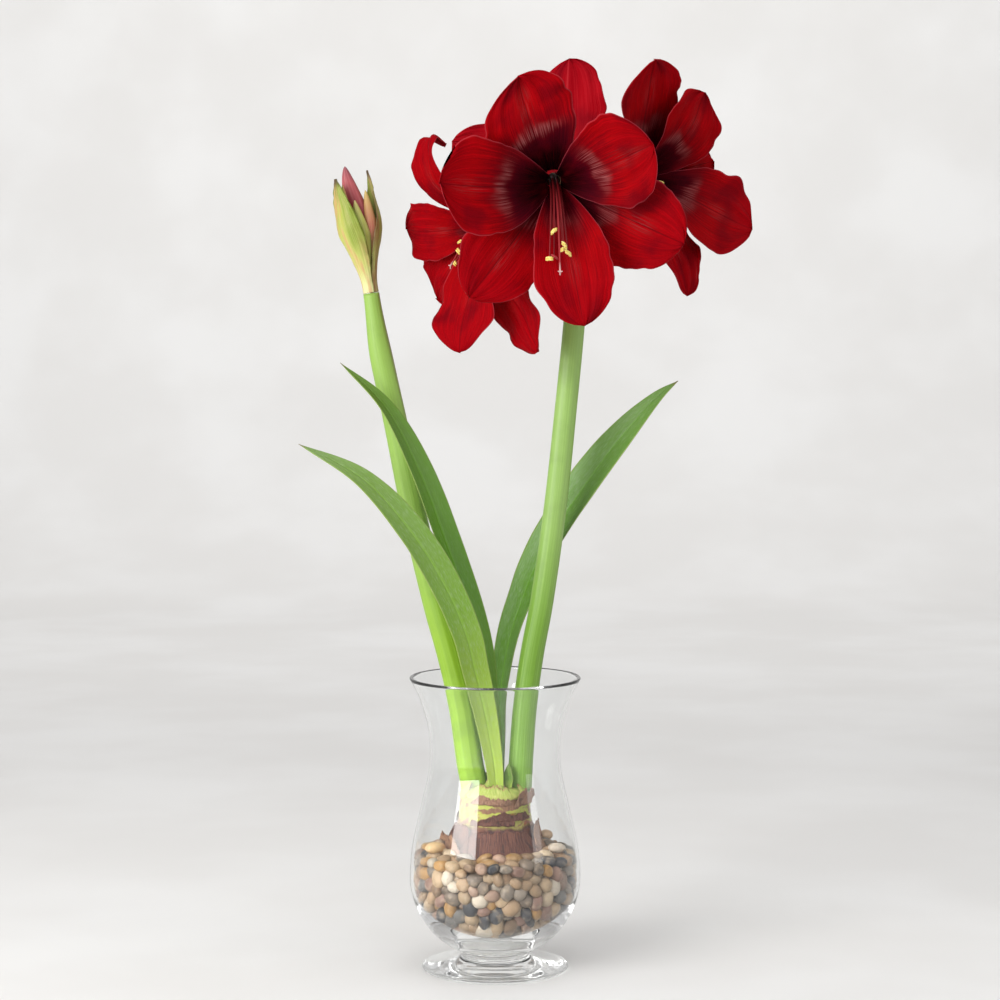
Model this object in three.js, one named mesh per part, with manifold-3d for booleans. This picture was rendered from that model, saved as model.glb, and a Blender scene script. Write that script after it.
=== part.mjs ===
// An amaryllis (Hippeastrum) growing from its bulb in a footed glass hurricane vase of pebbles:
// one flower stem with an umbel of four open flowers, a second stem with a bud that is just opening,
// strap leaves, and the bulb set in river pebbles. Millimetres, +Z up.
// The origin is the centre of the vase's foot, where it stands. The front flower faces -Y.
import * as THREE from "three";
import { mergeVertices } from "three/addons/utils/BufferGeometryUtils.js";
import Module from "manifold-3d";

const wasm = await Module();
wasm.setup();

// ---------- driving dimensions ----------
const GAP = 0.4; // clearance between pieces that touch in life

const VASE = {
  height: 240,
  rimRadius: 70,
  wall: 2.3,
  baseThickness: 8, // glass between the bowl's floor and the foot's neck
  footRadius: 60,
  neckRadius: 27.5,
  footEdge: 1.5, // how far the foot's rim is rounded
  lipHeight: 1.2, // how far the mouth's rim is rounded
  thickBelow: 13, // the glass is at its thickest up to this height
  thinAbove: 60, // and at its thinnest from this one
  steps: 14,
  sides: 32,
};
const BED = {
  level: 96,
  mound: 5, // how much higher the bed lies round the bulb
  moundWidth: 12,
  edge: 3, // the top layer is rounded off this far from the glass
};
const BULB = { bottom: 46, top: 147, radius: 46, neckRadius: 29, steps: 10, sides: 28 };
const TUNIC = { thickness: 0.8, lengthSteps: 4, widthSteps: 6 };
const SCAPE = { sides: 12, steps: 12 };
const LEAF = { thickness: 1.6, footShare: 0.42, lengthSteps: 14, shootSteps: 5, widthSteps: 4 };

const PETAL = {
  thickness: 0.9, lengthSteps: 8, widthSteps: 4,
  waist: 0.62, clawShare: 0.17, // where a petal is widest along its length, and its foot's share of that
  startRadius: { inner: 6.2, outer: 8.4 },
  share: 0.86, // how much of a third of the throat's girth a petal takes up
};
const TUBE = { pedicelRadius: 3.4, ovaryRadius: 6.2, mouthRadius: 5.6 };
const STAMEN = {
  count: 6, radius: 0.8, antherLength: 7, antherRadius: 1.6,
  ringRadius: 3, ringWidth: 0.6, // the filaments' feet stand on a ring in the throat
  spread: 50, // reach over which a filament strays from the axis by its ring's radius
  curl: 105, // the larger, the less a filament of a given reach droops
};
const STYLE = {
  share: 1.25, // how far it outreaches the stamens
  curl: 127, foot: 2.4, radius: 0.9, tipRadius: 2.2,
};
const HUSK = { thickness: 0.8, lengthSteps: 6, widthSteps: 3 };
const SPATHE = { thickness: 1, lengthSteps: 9, widthSteps: 6 };
const BUD_SOLID = { first: 0.1, tipRadius: 0.35, steps: 9, sides: 8 };

const v2 = (x, y) => new THREE.Vector2(x, y);
const v3 = (x, y, z) => new THREE.Vector3(x, y, z);
const UP = v3(0, 0, 1);
const radians = THREE.MathUtils.degToRad;
const { lerp, smoothstep } = THREE.MathUtils;
const steps = (from, to, count) => Array.from({ length: count + 1 }, (_, i) => lerp(from, to, i / count));

// ---------- materials ----------
const material = (color, roughness, extra = {}) =>
  new THREE.MeshStandardMaterial({ color, roughness, metalness: 0, ...extra });
const MATERIALS = {
  glass: material(0xeef3f2, 0.03, { transparent: true, opacity: 0.3 }),
  pebble: material(0xb9a183, 0.75),
  bulb: material(0x8f8a35, 0.6),
  tunic: material(0x7d4a2c, 0.7),
  scape: material(0x86b552, 0.45),
  leaf: material(0x4d8f1d, 0.4),
  petal: material(0xa80612, 0.5),
  tube: material(0x7a2a1c, 0.5),
  stamen: material(0xb5121c, 0.45),
  bud: material(0x8e3742, 0.5),
  spathe: material(0xa7b04e, 0.5),
  husk: material(0xb09a6c, 0.8),
};

const part = new THREE.Group();

function add(name, geometry, look) {
  const mesh = new THREE.Mesh(geometry, look);
  mesh.name = name;
  part.add(mesh);
}

// ---------- solids from rings and sheets ----------

function closedGeometry(points, faces) {
  const geometry = new THREE.BufferGeometry();
  const places = points.flatMap((p) => p.toArray());
  geometry.setAttribute("position", new THREE.Float32BufferAttribute(places, 3));
  geometry.setIndex(faces.flat());
  return geometry;
}

// A skin over rings of equal count, each going counter-clockwise about the way to the next, with flat ends.
function loft(rings) {
  const sides = rings[0].length;
  const centre = (ring) => ring.reduce((sum, p) => sum.add(p), v3(0, 0, 0)).divideScalar(sides);
  const points = [...rings.flat(), centre(rings[0]), centre(rings.at(-1))];
  const [first, last] = [points.length - 2, points.length - 1];
  const faces = [];
  for (let r = 0; r + 1 < rings.length; r++)
    for (let k = 0; k < sides; k++) {
      const [a, b] = [r * sides + k, r * sides + ((k + 1) % sides)];
      faces.push([a, b, b + sides], [a, b + sides, a + sides]);
    }
  const end = (rings.length - 1) * sides;
  for (let k = 0; k < sides; k++) {
    faces.push([first, (k + 1) % sides, k]);
    faces.push([last, end + k, end + ((k + 1) % sides)]);
  }
  return closedGeometry(points, faces);
}

// A rod along a curve. section(s) gives its two half-widths, the first of them along `wide`.
function rod(curve, section, { sides, steps: count, wide = v3(1, 0, 0) }) {
  const rings = [];
  for (const s of steps(0, 1, count)) {
    const [at, along] = [curve.getPointAt(s), curve.getTangentAt(s)];
    const across = wide.clone().addScaledVector(along, -wide.dot(along)).normalize();
    const other = along.clone().cross(across);
    const [a, b] = section(s);
    const ring = [];
    for (let k = 0; k < sides; k++) {
      const turn = (2 * Math.PI * k) / sides;
      const out = across.clone().multiplyScalar(a * Math.cos(turn));
      ring.push(out.addScaledVector(other, b * Math.sin(turn)).add(at));
    }
    rings.push(ring);
  }
  return loft(rings);
}

// A thin closed sheet over surface(s, v), s from 0 to 1 along it and v from -1 to 1 across it.
function sheet(surface, { thickness, lengthSteps, widthSteps }) {
  const points = [];
  for (const side of [0.5, -0.5])
    for (let i = 0; i <= lengthSteps; i++)
      for (let j = 0; j <= widthSteps; j++) {
        const { point, normal } = surface(i / lengthSteps, (2 * j) / widthSteps - 1);
        points.push(point.clone().addScaledVector(normal, side * thickness));
      }
  const columns = widthSteps + 1;
  const back = (lengthSteps + 1) * columns;
  const at = (i, j) => i * columns + j;
  const faces = [];
  const quad = (a, b, c, d) => faces.push([a, b, c], [a, c, d]);
  for (let i = 0; i < lengthSteps; i++)
    for (let j = 0; j < widthSteps; j++) {
      const corners = [at(i, j), at(i + 1, j), at(i + 1, j + 1), at(i, j + 1)];
      quad(...corners);
      quad(...corners.map((k) => k + back).reverse());
    }
  const edge = (a, b) => quad(a, a + back, b + back, b);
  for (let i = 0; i < lengthSteps; i++) {
    edge(at(i, 0), at(i + 1, 0));
    edge(at(i + 1, widthSteps), at(i, widthSteps));
  }
  for (let j = 0; j < widthSteps; j++) {
    edge(at(0, j + 1), at(0, j));
    edge(at(lengthSteps, j), at(lengthSteps, j + 1));
  }
  return closedGeometry(points, faces);
}

function curveThrough(points) {
  return new THREE.CatmullRomCurve3(points.map((p) => v3(...p)), false, "centripetal");
}

// ---------- glass vase: bowl, short neck and foot blown as one piece ----------

const vaseOutside = new THREE.SplineCurve(
  [[28, 13.5], [41, 21], [53.5, 32], [62.5, 45.5], [68.3, 61], [70, 76], [67.8, 102], [60.4, 135],
    [54.3, 163], [53.4, 184], [55.5, 201], [62.4, 224], [VASE.rimRadius, VASE.height - VASE.lipHeight]].map(
    ([r, z]) => v2(r, z)),
);

// The glass thickens towards the neck, as the foot is drawn out of the gather there.
function vaseInsidePoint(t, extra = 0) {
  const [p, along] = [vaseOutside.getPoint(t), vaseOutside.getTangent(t)];
  const thinning = smoothstep(p.y, VASE.thickBelow, VASE.thinAbove);
  const thickness = lerp(VASE.baseThickness, VASE.wall, thinning) + extra;
  return v2(p.x - along.y * thickness, p.y + along.x * thickness);
}

const BOWL_FLOOR = vaseInsidePoint(0).y;

function vaseProfile() {
  const inner = VASE.footRadius - VASE.footEdge;
  const foot = [[0, 0], [inner, 0], [VASE.footRadius, 1.4], [inner, 3],
    [46, 4.4], [35, 6.4], [29, 9], [VASE.neckRadius, 11.6]].map(([r, z]) => v2(r, z));
  const outside = steps(0, 1, VASE.steps).map((t) => vaseOutside.getPoint(t));
  const lip = v2(VASE.rimRadius - VASE.wall / 2, VASE.height);
  const inside = steps(1, 0, VASE.steps).map((t) => vaseInsidePoint(t));
  return [...foot, ...outside, lip, ...inside, v2(0, BOWL_FLOOR)];
}

const turned = (profile, sides) => new THREE.LatheGeometry(profile, sides).rotateX(Math.PI / 2);
add("glass_vase", turned(vaseProfile(), VASE.sides), MATERIALS.glass);

// ---------- bulb ----------

const bulbSide = new THREE.SplineCurve(
  [[14, BULB.bottom], [31, 51.5], [42.5, 63], [BULB.radius, 77], [43.6, 93], [37, 106], [32, 118],
    [BULB.neckRadius + 0.6, 131], [BULB.neckRadius, BULB.top - 3]].map(([r, z]) => v2(r, z)),
);

function bulbPoint(t, out = 0) {
  const [p, along] = [bulbSide.getPoint(t), bulbSide.getTangent(t)];
  return v2(p.x + along.y * out, p.y - along.x * out);
}

function bulbRadiusAt(z, out = 0) {
  let [low, high] = [0, 1];
  for (let i = 0; i < 30; i++) {
    const middle = (low + high) / 2;
    if (bulbPoint(middle, out).y < z) low = middle;
    else high = middle;
  }
  return bulbPoint(low, out).x;
}

const bulbProfile = [v2(0, BULB.bottom), ...steps(0, 1, BULB.steps).map((t) => bulbPoint(t)),
  v2(BULB.neckRadius - 3, BULB.top), v2(0, BULB.top)];
add("bulb", turned(bulbProfile, BULB.sides), MATERIALS.bulb);

// ---------- pebble bed: fills the bowl round the bulb's lower half ----------

function bedProfile() {
  const wall = steps(0, 1, VASE.steps).map((t) => vaseInsidePoint(t, GAP)).filter((p) => p.y < BED.level - 2);
  const crest = BED.level + BED.mound;
  const socketTop = bulbRadiusAt(crest - 1, 2 * GAP);
  const socket = steps(0, 1, BULB.steps).map((t) => bulbPoint(t, 2 * GAP)).filter((p) => p.y < crest - 6);
  return [v2(0, BOWL_FLOOR + GAP), ...wall, v2(wall.at(-1).x - BED.edge, BED.level),
    v2(socketTop + BED.moundWidth, lerp(BED.level, crest, 0.3)), v2(socketTop, crest),
    ...socket.reverse(), v2(0, BULB.bottom - 2 * GAP)];
}

add("pebble_bed", turned(bedProfile(), VASE.sides), MATERIALS.pebble);

// Loose pebbles lying on the bed: bearing and distance from the axis, half-lengths, and a turn on the spot.
const LOOSE_PEBBLES = [
  { bearing: -20, distance: 53, size: [7.5, 5.5, 4], turn: 15 },
  { bearing: 38, distance: 54, size: [8, 6, 4.5], turn: 70 },
  { bearing: 205, distance: 53, size: [9, 6.5, 5], turn: 40 },
];

function pebble(halfSizes) {
  const geometry = new THREE.SphereGeometry(1, 10, 7);
  return geometry.scale(...halfSizes);
}

LOOSE_PEBBLES.forEach(({ bearing, distance, size, turn }, i) => {
  const geometry = pebble(size).rotateZ(radians(turn));
  const [x, y] = [distance * Math.cos(radians(bearing)), distance * Math.sin(radians(bearing))];
  add(`pebble_loose_${i + 1}`, geometry.translate(x, y, BED.level + 1.8 + size[2] + GAP), MATERIALS.pebble);
});

// ---------- papery tunics: dry outer skins that peel from the bulb ----------

// A patch of skin between two bearings and two heights, lying `off` the bulb and lifting at its free edge.
function tunicSurface({ from, to, low, high, off, lift, raggedness }) {
  return (s, v) => {
    const bearing = radians(lerp(from, to, (v + 1) / 2));
    const top = high + raggedness * Math.sin(7 * v + from);
    const z = lerp(low, top, s);
    const radius = bulbRadiusAt(Math.min(z, BULB.top - 4)) + off + lift * s * s;
    const normal = v3(Math.cos(bearing), Math.sin(bearing), 0);
    return { point: normal.clone().multiplyScalar(radius).setZ(z), normal: normal.negate() };
  };
}

const TUNICS = {
  tunic_left: { from: 165, to: 232, low: 103, high: 117, off: 1.6, lift: 8, raggedness: 3 },
  tunic_front: { from: 238, to: 318, low: 104, high: 131, off: 1.2, lift: 1.6, raggedness: 2.5 },
  tunic_right: { from: 322, to: 372, low: 112, high: 150, off: 1.2, lift: 2.4, raggedness: 3 },
  tunic_back: { from: 40, to: 150, low: 104, high: 136, off: 1.2, lift: 2, raggedness: 3 },
};
for (const [name, spec] of Object.entries(TUNICS))
  add(name, sheet(tunicSurface(spec), TUNIC), MATERIALS.tunic);

// ---------- flower stems (scapes) ----------

const BASE = BULB.top + GAP;
const scapeRoute = curveThrough([[20, -2, BASE], [20.1, -2, BASE + 5], [21.3, -2, 176], [24.4, -2, 217],
  [30, -2, 258], [37.5, -2, 299], [49, -1, 380], [57.5, 0, 460], [62.5, 1, 511], [67.5, 2, 570],
  [69, 2, 594], [69, 2, 600]]);
const budScapeRoute = curveThrough([[-17.4, 2, BASE], [-17.6, 2, BASE + 5], [-20.5, 2, 168], [-27.6, 2, 217],
  [-37, 2, 258], [-48.4, 2, 299], [-67.5, 1, 380], [-80.5, 0, 446], [-93.4, 0, 507], [-100.2, 0, 552]]);

// Both stems are flattened ovals. The first swells where the umbel sits on it, and the second narrows to
// the bud.
const mainSection = (s) => [lerp(10.2, 8.9, s) + 0.8 * smoothstep(s, 0.95, 1), lerp(8.6, 7.8, s)];
const budSection = (s) => {
  const narrowing = smoothstep(s, 0.86, 1);
  return [lerp(11.2, 9.4, s) - 2.6 * narrowing, lerp(8.8, 7.4, s) - 1.5 * narrowing];
};
add("scape_flowers", rod(scapeRoute, mainSection, SCAPE), MATERIALS.scape);
add("scape_bud", rod(budScapeRoute, budSection, SCAPE), MATERIALS.scape);

// ---------- strap leaves ----------

function leafOutline(s, widest) {
  if (s < widest) return lerp(LEAF.footShare, 1, Math.sin(((Math.PI / 2) * s) / widest));
  return Math.max(0.02, 1 - ((s - widest) / (1 - widest)) ** 2.1);
}

// face is the way the blade's upper side looks, at the foot and at the tip; fold lifts both edges.
function leafSurface({ route, faceFoot, faceTip, width, widest, fold }) {
  const curve = curveThrough(route);
  return (s, v) => {
    const [at, along] = [curve.getPointAt(s), curve.getTangentAt(s)];
    const face = v3(...faceFoot).lerp(v3(...faceTip), s);
    const side = face.cross(along).normalize();
    const normal = along.clone().cross(side).normalize();
    const half = (width / 2) * leafOutline(s, widest);
    const point = at.addScaledVector(side, v * half).addScaledVector(normal, fold * half * v * v);
    return { point, normal };
  };
}

const LEAVES = {
  leaf_left_long: {
    route: [[1, -17, BASE + 1], [-1, -17, 170], [-5, -18, 195], [-9.7, -21, 220], [-16.5, -25, 249],
      [-23, -31, 277],
      [-41, -42, 320], [-67.8, -52, 364], [-105.7, -56, 405], [-155, -54, 432]],
    faceFoot: [0.3, -1, 0.1], faceTip: [0.55, -0.9, 0.8], width: 28, widest: 0.58, fold: 0.22,
  },
  leaf_left_upright: {
    route: [[-1, 1, BASE + 1], [-2, -2, 192], [-6.6, -6, 226], [-10.6, -10, 259], [-19, -13, 292],
      [-41.5, -18, 357],
      [-61.5, -22, 410], [-88.5, -24, 461], [-124, -22, 496]],
    faceFoot: [0.9, -0.9, 0.1], faceTip: [0.7, -0.8, 0.6], width: 27, widest: 0.6, fold: 0.3,
  },
  leaf_right: {
    route: [[5, 14, BASE + 1], [5, 15, 190], [5, 18, 222], [13, 22, 271], [21.5, 24, 297], [34, 26, 329],
      [53, 28, 363], [77, 30, 399], [100.5, 30, 430], [134.6, 25, 468.5], [150, 22, 481]],
    faceFoot: [-1, -0.5, 0.1], faceTip: [-0.5, -0.9, 0.5], width: 35, widest: 0.66, fold: 0.25,
  },
  leaf_shoot: {
    route: [[11, -13, BASE + 1], [11, -13, 156], [11, -13.5, 163], [11, -14, 171]],
    faceFoot: [-0.5, -1, 0], faceTip: [-0.5, -1, 0], width: 8.5, widest: 0.4, fold: 0.3,
  },
};
for (const [name, spec] of Object.entries(LEAVES)) {
  const lengthSteps = name === "leaf_shoot" ? LEAF.shootSteps : LEAF.lengthSteps;
  add(name, sheet(leafSurface(spec), { ...LEAF, lengthSteps }), MATERIALS.leaf);
}

// ---------- open flowers ----------

const UMBEL = v3(69, 2, 600 + GAP);
const PEDICEL_CIRCLE = 5.4; // the pedicels stand round the scape's top on this radius

// yaw turns the way a flower faces from -Y towards +X, and pitch tips it up. A petal's bearing is
// counter-clockwise from the flower's right-hand side, as one looks into it. Its rib runs from the throat
// through the claw to the tip by [distance forward, distance out from the axis]. cup bends the blade
// towards the axis, roll turns the tip about the rib, and sway carries the tip sideways.
const CLAW = { inner: [20, 10], outer: [17, 14] };
const FLOWERS = {
  front: {
    throat: [46, -45, 640], pedicel: 265, yaw: 3, pitch: -12, stamenReach: 68,
    petals: {
      outer_top: { bearing: 122, rib: [[40, 43], [50, 90]], width: 78, cup: 0.1, roll: 0, sway: -18 },
      outer_left: { bearing: 231, rib: [[42, 52], [58, 107]], width: 66, cup: 0.05, roll: 0, sway: 0 },
      outer_right: { bearing: 337, rib: [[42, 52], [58, 106]], width: 74, cup: 0.05, roll: 0, sway: 0 },
      inner_left: { bearing: 183, rib: [[52, 46], [72, 92]], width: 84, cup: 0.3, roll: 0, sway: -12 },
      inner_right: { bearing: 27, rib: [[52, 42], [62, 80]], width: 86, cup: 0.3, roll: 0, sway: 0 },
      inner_bottom: { bearing: 281, rib: [[58, 44], [80, 103]], width: 64, cup: 0.3, roll: 0, sway: 0 },
    },
  },
  left: {
    throat: [4, -2, 608], pedicel: 177, yaw: -58, pitch: -14, stamenReach: 42,
    petals: {
      outer_top: {
        bearing: 109, rib: [[42, 42], [44, 66], [33, 83], [21, 73]], width: 31, cup: 0.2, roll: 14, sway: 0,
      },
      outer_far: { bearing: 222, rib: [[36, 42], [42, 76]], width: 56, cup: 0.1, roll: 0, sway: 0 },
      outer_near: {
        bearing: 302, rib: [[26, 46], [25, 84], [30, 117]], width: 58, cup: 0.1, roll: 0, sway: 0,
      },
      inner_far: { bearing: 172, rib: [[46, 36], [50, 64]], width: 54, cup: 0.2, roll: 0, sway: 0 },
      inner_near: { bearing: 40, rib: [[36, 34], [46, 55]], width: 50, cup: 0.2, roll: 0, sway: 0 },
      inner_bottom: { bearing: 273, rib: [[38, 41], [68, 89]], width: 78, cup: 0.1, roll: -12, sway: 0 },
    },
  },
  right: {
    throat: [104, -12, 642], pedicel: 353, yaw: 50, pitch: 2, stamenReach: 30,
    petals: {
      outer_top: { bearing: 114, rib: [[31, 39], [60, 94]], width: 64, cup: 0.3, roll: -20, sway: 0 },
      outer_far: { bearing: 15, rib: [[40, 34], [50, 56]], width: 54, cup: 0.1, roll: 0, sway: 0 },
      outer_bottom: { bearing: 272, rib: [[48, 61], [58, 95]], width: 50, cup: 0.3, roll: 0, sway: 0 },
      inner_top: { bearing: 67, rib: [[54, 38], [58, 72]], width: 70, cup: 0.2, roll: 0, sway: 0 },
      inner_near: { bearing: 195, rib: [[42, 24], [56, 40]], width: 46, cup: 0.2, roll: 0, sway: 0 },
      inner_far: { bearing: 323, rib: [[46, 31], [74, 81]], width: 92, cup: 0.1, roll: -12, sway: 8 },
    },
  },
  back: {
    throat: [66, 46, 640], pedicel: 85, yaw: 178, pitch: 8, stamenReach: 68,
    petals: {
      outer_top: { bearing: 77, rib: [[38, 48], [50, 102]], width: 66, cup: 0.05, roll: 0, sway: 18 },
      outer_left: { bearing: 209, rib: [[40, 44], [56, 92]], width: 62, cup: 0.05, roll: 0, sway: 0 },
      outer_right: { bearing: 330, rib: [[40, 44], [56, 92]], width: 62, cup: 0.05, roll: 0, sway: 0 },
      inner_left: { bearing: 150, rib: [[50, 40], [66, 82]], width: 60, cup: 0.3, roll: 0, sway: 0 },
      inner_right: { bearing: 19, rib: [[46, 48], [48, 110]], width: 56, cup: 0.2, roll: 0, sway: 0 },
      inner_bottom: { bearing: 283, rib: [[50, 44], [62, 97]], width: 52, cup: 0.2, roll: 0, sway: 0 },
    },
  },
};

function flowerFrame({ throat, pedicel, yaw, pitch, stamenReach }) {
  const [turn, tip] = [radians(yaw), radians(pitch)];
  const axis = v3(Math.sin(turn) * Math.cos(tip), -Math.cos(turn) * Math.cos(tip), Math.sin(tip));
  const side = UP.clone().cross(axis).normalize();
  return { throat: v3(...throat), pedicel, stamenReach, axis, side, up: axis.clone().cross(side) };
}

// Half-width along a petal as a share of its widest: a narrow claw, a broad blade and a pointed tip.
function petalOutline(s) {
  const { waist, clawShare } = PETAL;
  if (s < waist) return clawShare + (1 - clawShare) * Math.sin(((Math.PI / 2) * s) / waist) ** 1.25;
  return Math.max(0.03, (1 - ((s - waist) / (1 - waist)) ** 2.6) ** 0.66);
}

function petalSurface(frame, kind, { bearing, rib, width, cup, roll, sway }) {
  const angle = radians(bearing);
  const [right, up] = [Math.cos(angle), Math.sin(angle)];
  const outward = frame.side.clone().multiplyScalar(right).addScaledVector(frame.up, up);
  const around = frame.axis.clone().cross(outward);
  const midrib = new THREE.SplineCurve(
    [[GAP, PETAL.startRadius[kind]], CLAW[kind], ...rib].map(([forward, out]) => v2(forward, out)),
  );
  return (s, v) => {
    const [p, d] = [midrib.getPointAt(s), midrib.getTangentAt(s)];
    const at = frame.throat.clone().addScaledVector(frame.axis, p.x).addScaledVector(outward, p.y)
      .addScaledVector(around, sway * s * s);
    const inward = frame.axis.clone().multiplyScalar(d.y).addScaledVector(outward, -d.x);
    const turn = radians(roll) * s;
    const side = around.clone().multiplyScalar(Math.cos(turn)).addScaledVector(inward, Math.sin(turn));
    const normal = inward.clone().multiplyScalar(Math.cos(turn)).addScaledVector(around, -Math.sin(turn));
    const half = (width / 2) * petalOutline(s);
    const room = PETAL.share * p.y * (Math.PI / 3);
    const reach = (half * room) / Math.cbrt(half ** 3 + room ** 3);
    const bend = lerp(1 / p.y, (2 * cup) / width, smoothstep(s, 0.15, 0.75));
    const arc = v * reach * bend;
    const point = at.addScaledVector(side, Math.sin(arc) / bend);
    point.addScaledVector(normal, (1 - Math.cos(arc)) / bend);
    const facing = normal.clone().multiplyScalar(Math.cos(arc)).addScaledVector(side, -Math.sin(arc));
    return { point, normal: facing };
  };
}

// Pedicel, ovary and perianth tube: one rod from the top of the scape to the flower's throat.
function flowerTube(frame) {
  const start = UMBEL.clone().add(v3(PEDICEL_CIRCLE, 0, 0).applyAxisAngle(UP, radians(frame.pedicel)));
  const end = frame.throat.clone();
  const pull = start.distanceTo(end) * 0.4;
  const route = new THREE.CubicBezierCurve3(start, start.clone().addScaledVector(UP, pull),
    end.clone().addScaledVector(frame.axis, -pull), end);
  const section = (s) => {
    const ovary = Math.exp(-(((s - 0.62) / 0.13) ** 2));
    const radius = lerp(TUBE.pedicelRadius, TUBE.mouthRadius, smoothstep(s, 0.55, 1));
    const size = Math.max(radius, lerp(radius, TUBE.ovaryRadius, ovary));
    return [size, size];
  };
  return rod(route, section, { sides: 8, steps: 9, wide: frame.side });
}

function asSolid(geometry) {
  const bare = new THREE.BufferGeometry();
  bare.setAttribute("position", geometry.getAttribute("position"));
  bare.setIndex(geometry.getIndex());
  const merged = mergeVertices(bare, 1e-4);
  return new wasm.Manifold(new wasm.Mesh({
    numProp: 3,
    vertProperties: merged.attributes.position.array,
    triVerts: new Uint32Array(merged.index.array),
  }));
}

function joined(geometries) {
  const made = geometries.map(asSolid).reduce((sum, next) => sum.add(next)).getMesh();
  const geometry = new THREE.BufferGeometry();
  geometry.setAttribute("position", new THREE.BufferAttribute(made.vertProperties, 3));
  geometry.setIndex(new THREE.BufferAttribute(made.triVerts, 1));
  return geometry;
}

// A filament leaves the throat beside the style, sags towards the lower petals and spreads as it goes.
function filamentCurve(frame, turn, radius, reach, droop) {
  const at = (t) => {
    const out = radius * (1 + (reach / STAMEN.spread) * t * t);
    return frame.throat.clone().addScaledVector(frame.axis, 1 + reach * t)
      .addScaledVector(frame.side, out * Math.cos(turn))
      .addScaledVector(frame.up, out * Math.sin(turn) - droop * t ** 2.4);
  };
  return new THREE.CatmullRomCurve3([0, 0.34, 0.7, 1].map(at));
}

function stamens(frame) {
  const pieces = [];
  const [low, high] = [0.5, 2].map((along) => frame.throat.clone().addScaledVector(frame.axis, along));
  const hubRadius = STAMEN.ringRadius + STAMEN.ringWidth;
  pieces.push(rod(new THREE.LineCurve3(low, high), () => [hubRadius, hubRadius],
    { sides: 10, steps: 1, wide: frame.side }));
  for (let k = 0; k < STAMEN.count; k++) {
    const turn = (2 * Math.PI * k) / STAMEN.count;
    const reach = frame.stamenReach + 4 * Math.sin(2.4 * k);
    const droop = reach ** 2 / STAMEN.curl + 3 * Math.cos(1.9 * k);
    const curve = filamentCurve(frame, turn, STAMEN.ringRadius, reach, droop);
    pieces.push(rod(curve, () => [STAMEN.radius, STAMEN.radius], { sides: 4, steps: 4, wide: frame.side }));
    const { antherLength, antherRadius } = STAMEN;
    const anther = new THREE.SphereGeometry(1, 5, 4).scale(antherLength / 2, antherRadius, antherRadius);
    const tip = curve.getPointAt(1);
    anther.rotateY(radians(35 * k));
    pieces.push(anther.translate(tip.x, tip.y, tip.z));
  }
  return joined(pieces);
}

function style(frame) {
  const reach = STYLE.share * frame.stamenReach;
  const route = filamentCurve(frame, -Math.PI / 2, 0.1, reach, reach ** 2 / STYLE.curl);
  const from = frame.throat.clone().addScaledVector(frame.axis, STYLE.foot);
  const points = [from, ...[0.35, 0.7, 1].map((s) => route.getPointAt(s))];
  return rod(new THREE.CatmullRomCurve3(points), (s) => {
    const radius = lerp(STYLE.radius, STYLE.tipRadius, smoothstep(s, 0.94, 1));
    return [radius, radius];
  }, { sides: 5, steps: 6, wide: frame.side });
}

for (const [flower, spec] of Object.entries(FLOWERS)) {
  const frame = flowerFrame(spec);
  add(`${flower}_tube`, flowerTube(frame), MATERIALS.tube);
  add(`${flower}_stamens`, stamens(frame), MATERIALS.stamen);
  add(`${flower}_style`, style(frame), MATERIALS.stamen);
  for (const [name, petal] of Object.entries(spec.petals)) {
    const surface = petalSurface(frame, name.split("_")[0], petal);
    add(`${flower}_petal_${name}`, sheet(surface, PETAL), MATERIALS.petal);
  }
}

// ---------- withered bracts under the umbel ----------

function huskSurface({ side, length, width, curl }) {
  const bearing = radians(side);
  const out = v3(Math.cos(bearing), Math.sin(bearing), 0);
  const around = UP.clone().cross(out);
  return (s, v) => {
    const half = (width / 2) * Math.max(0.04, Math.sin(Math.PI * (0.22 + 0.78 * s)) ** 0.8);
    const point = v3(UMBEL.x, UMBEL.y, UMBEL.z - 3).addScaledVector(UP, -length * s)
      .addScaledVector(out, 11.5 + curl * s * s + 0.1 * half * v * v).addScaledVector(around, v * half);
    return { point, normal: out };
  };
}

const BRACTS = {
  bract_left: { side: 165, length: 48, width: 15, curl: 9 },
  bract_right: { side: 30, length: 42, width: 14, curl: 12 },
};
for (const [name, spec] of Object.entries(BRACTS)) add(name, sheet(huskSurface(spec), HUSK), MATERIALS.husk);

// ---------- opening bud: two spathe valves round four buds ----------

const BUD = { foot: v3(-100.2, 0, 552 + GAP), top: v3(-117, 0, 655), radius: 19.5, footRadius: 6.2 };
const budAxis = BUD.top.clone().sub(BUD.foot);
const budLength = budAxis.length();
budAxis.normalize();
const budSide = v3(1, 0, 0).addScaledVector(budAxis, -budAxis.x).normalize();
const budDepth = budAxis.clone().cross(budSide);
const budSpread = (s) => lerp(BUD.footRadius, BUD.radius, smoothstep(s, 0.05, 0.62)) / BUD.radius;

function budPoint(height, x, y) {
  const out = budSide.clone().multiplyScalar(x).addScaledVector(budDepth, y);
  return BUD.foot.clone().addScaledVector(budAxis, height).add(out);
}

function valveSurface({ bearing, span, length, belly, tipRadius }) {
  return (s, v) => {
    const angle = radians(bearing + v * span * Math.max(0.02, 1 - s ** 1.7) ** 0.75);
    const radius = lerp(budSpread(s) * belly, tipRadius, smoothstep(s, 0.55, 1));
    const [c, d] = [Math.cos(angle), Math.sin(angle)];
    const normal = budSide.clone().multiplyScalar(-c).addScaledVector(budDepth, -d);
    return { point: budPoint(s * length, radius * c, radius * d), normal };
  };
}

const VALVES = {
  bud_valve_left: { bearing: 218, span: 82, length: 94, belly: 18.5, tipRadius: 17 },
  bud_valve_right: { bearing: 20, span: 80, length: 98, belly: 18, tipRadius: 14 },
};
for (const [name, spec] of Object.entries(VALVES))
  add(name, sheet(valveSurface(spec), SPATHE), MATERIALS.spathe);

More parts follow.
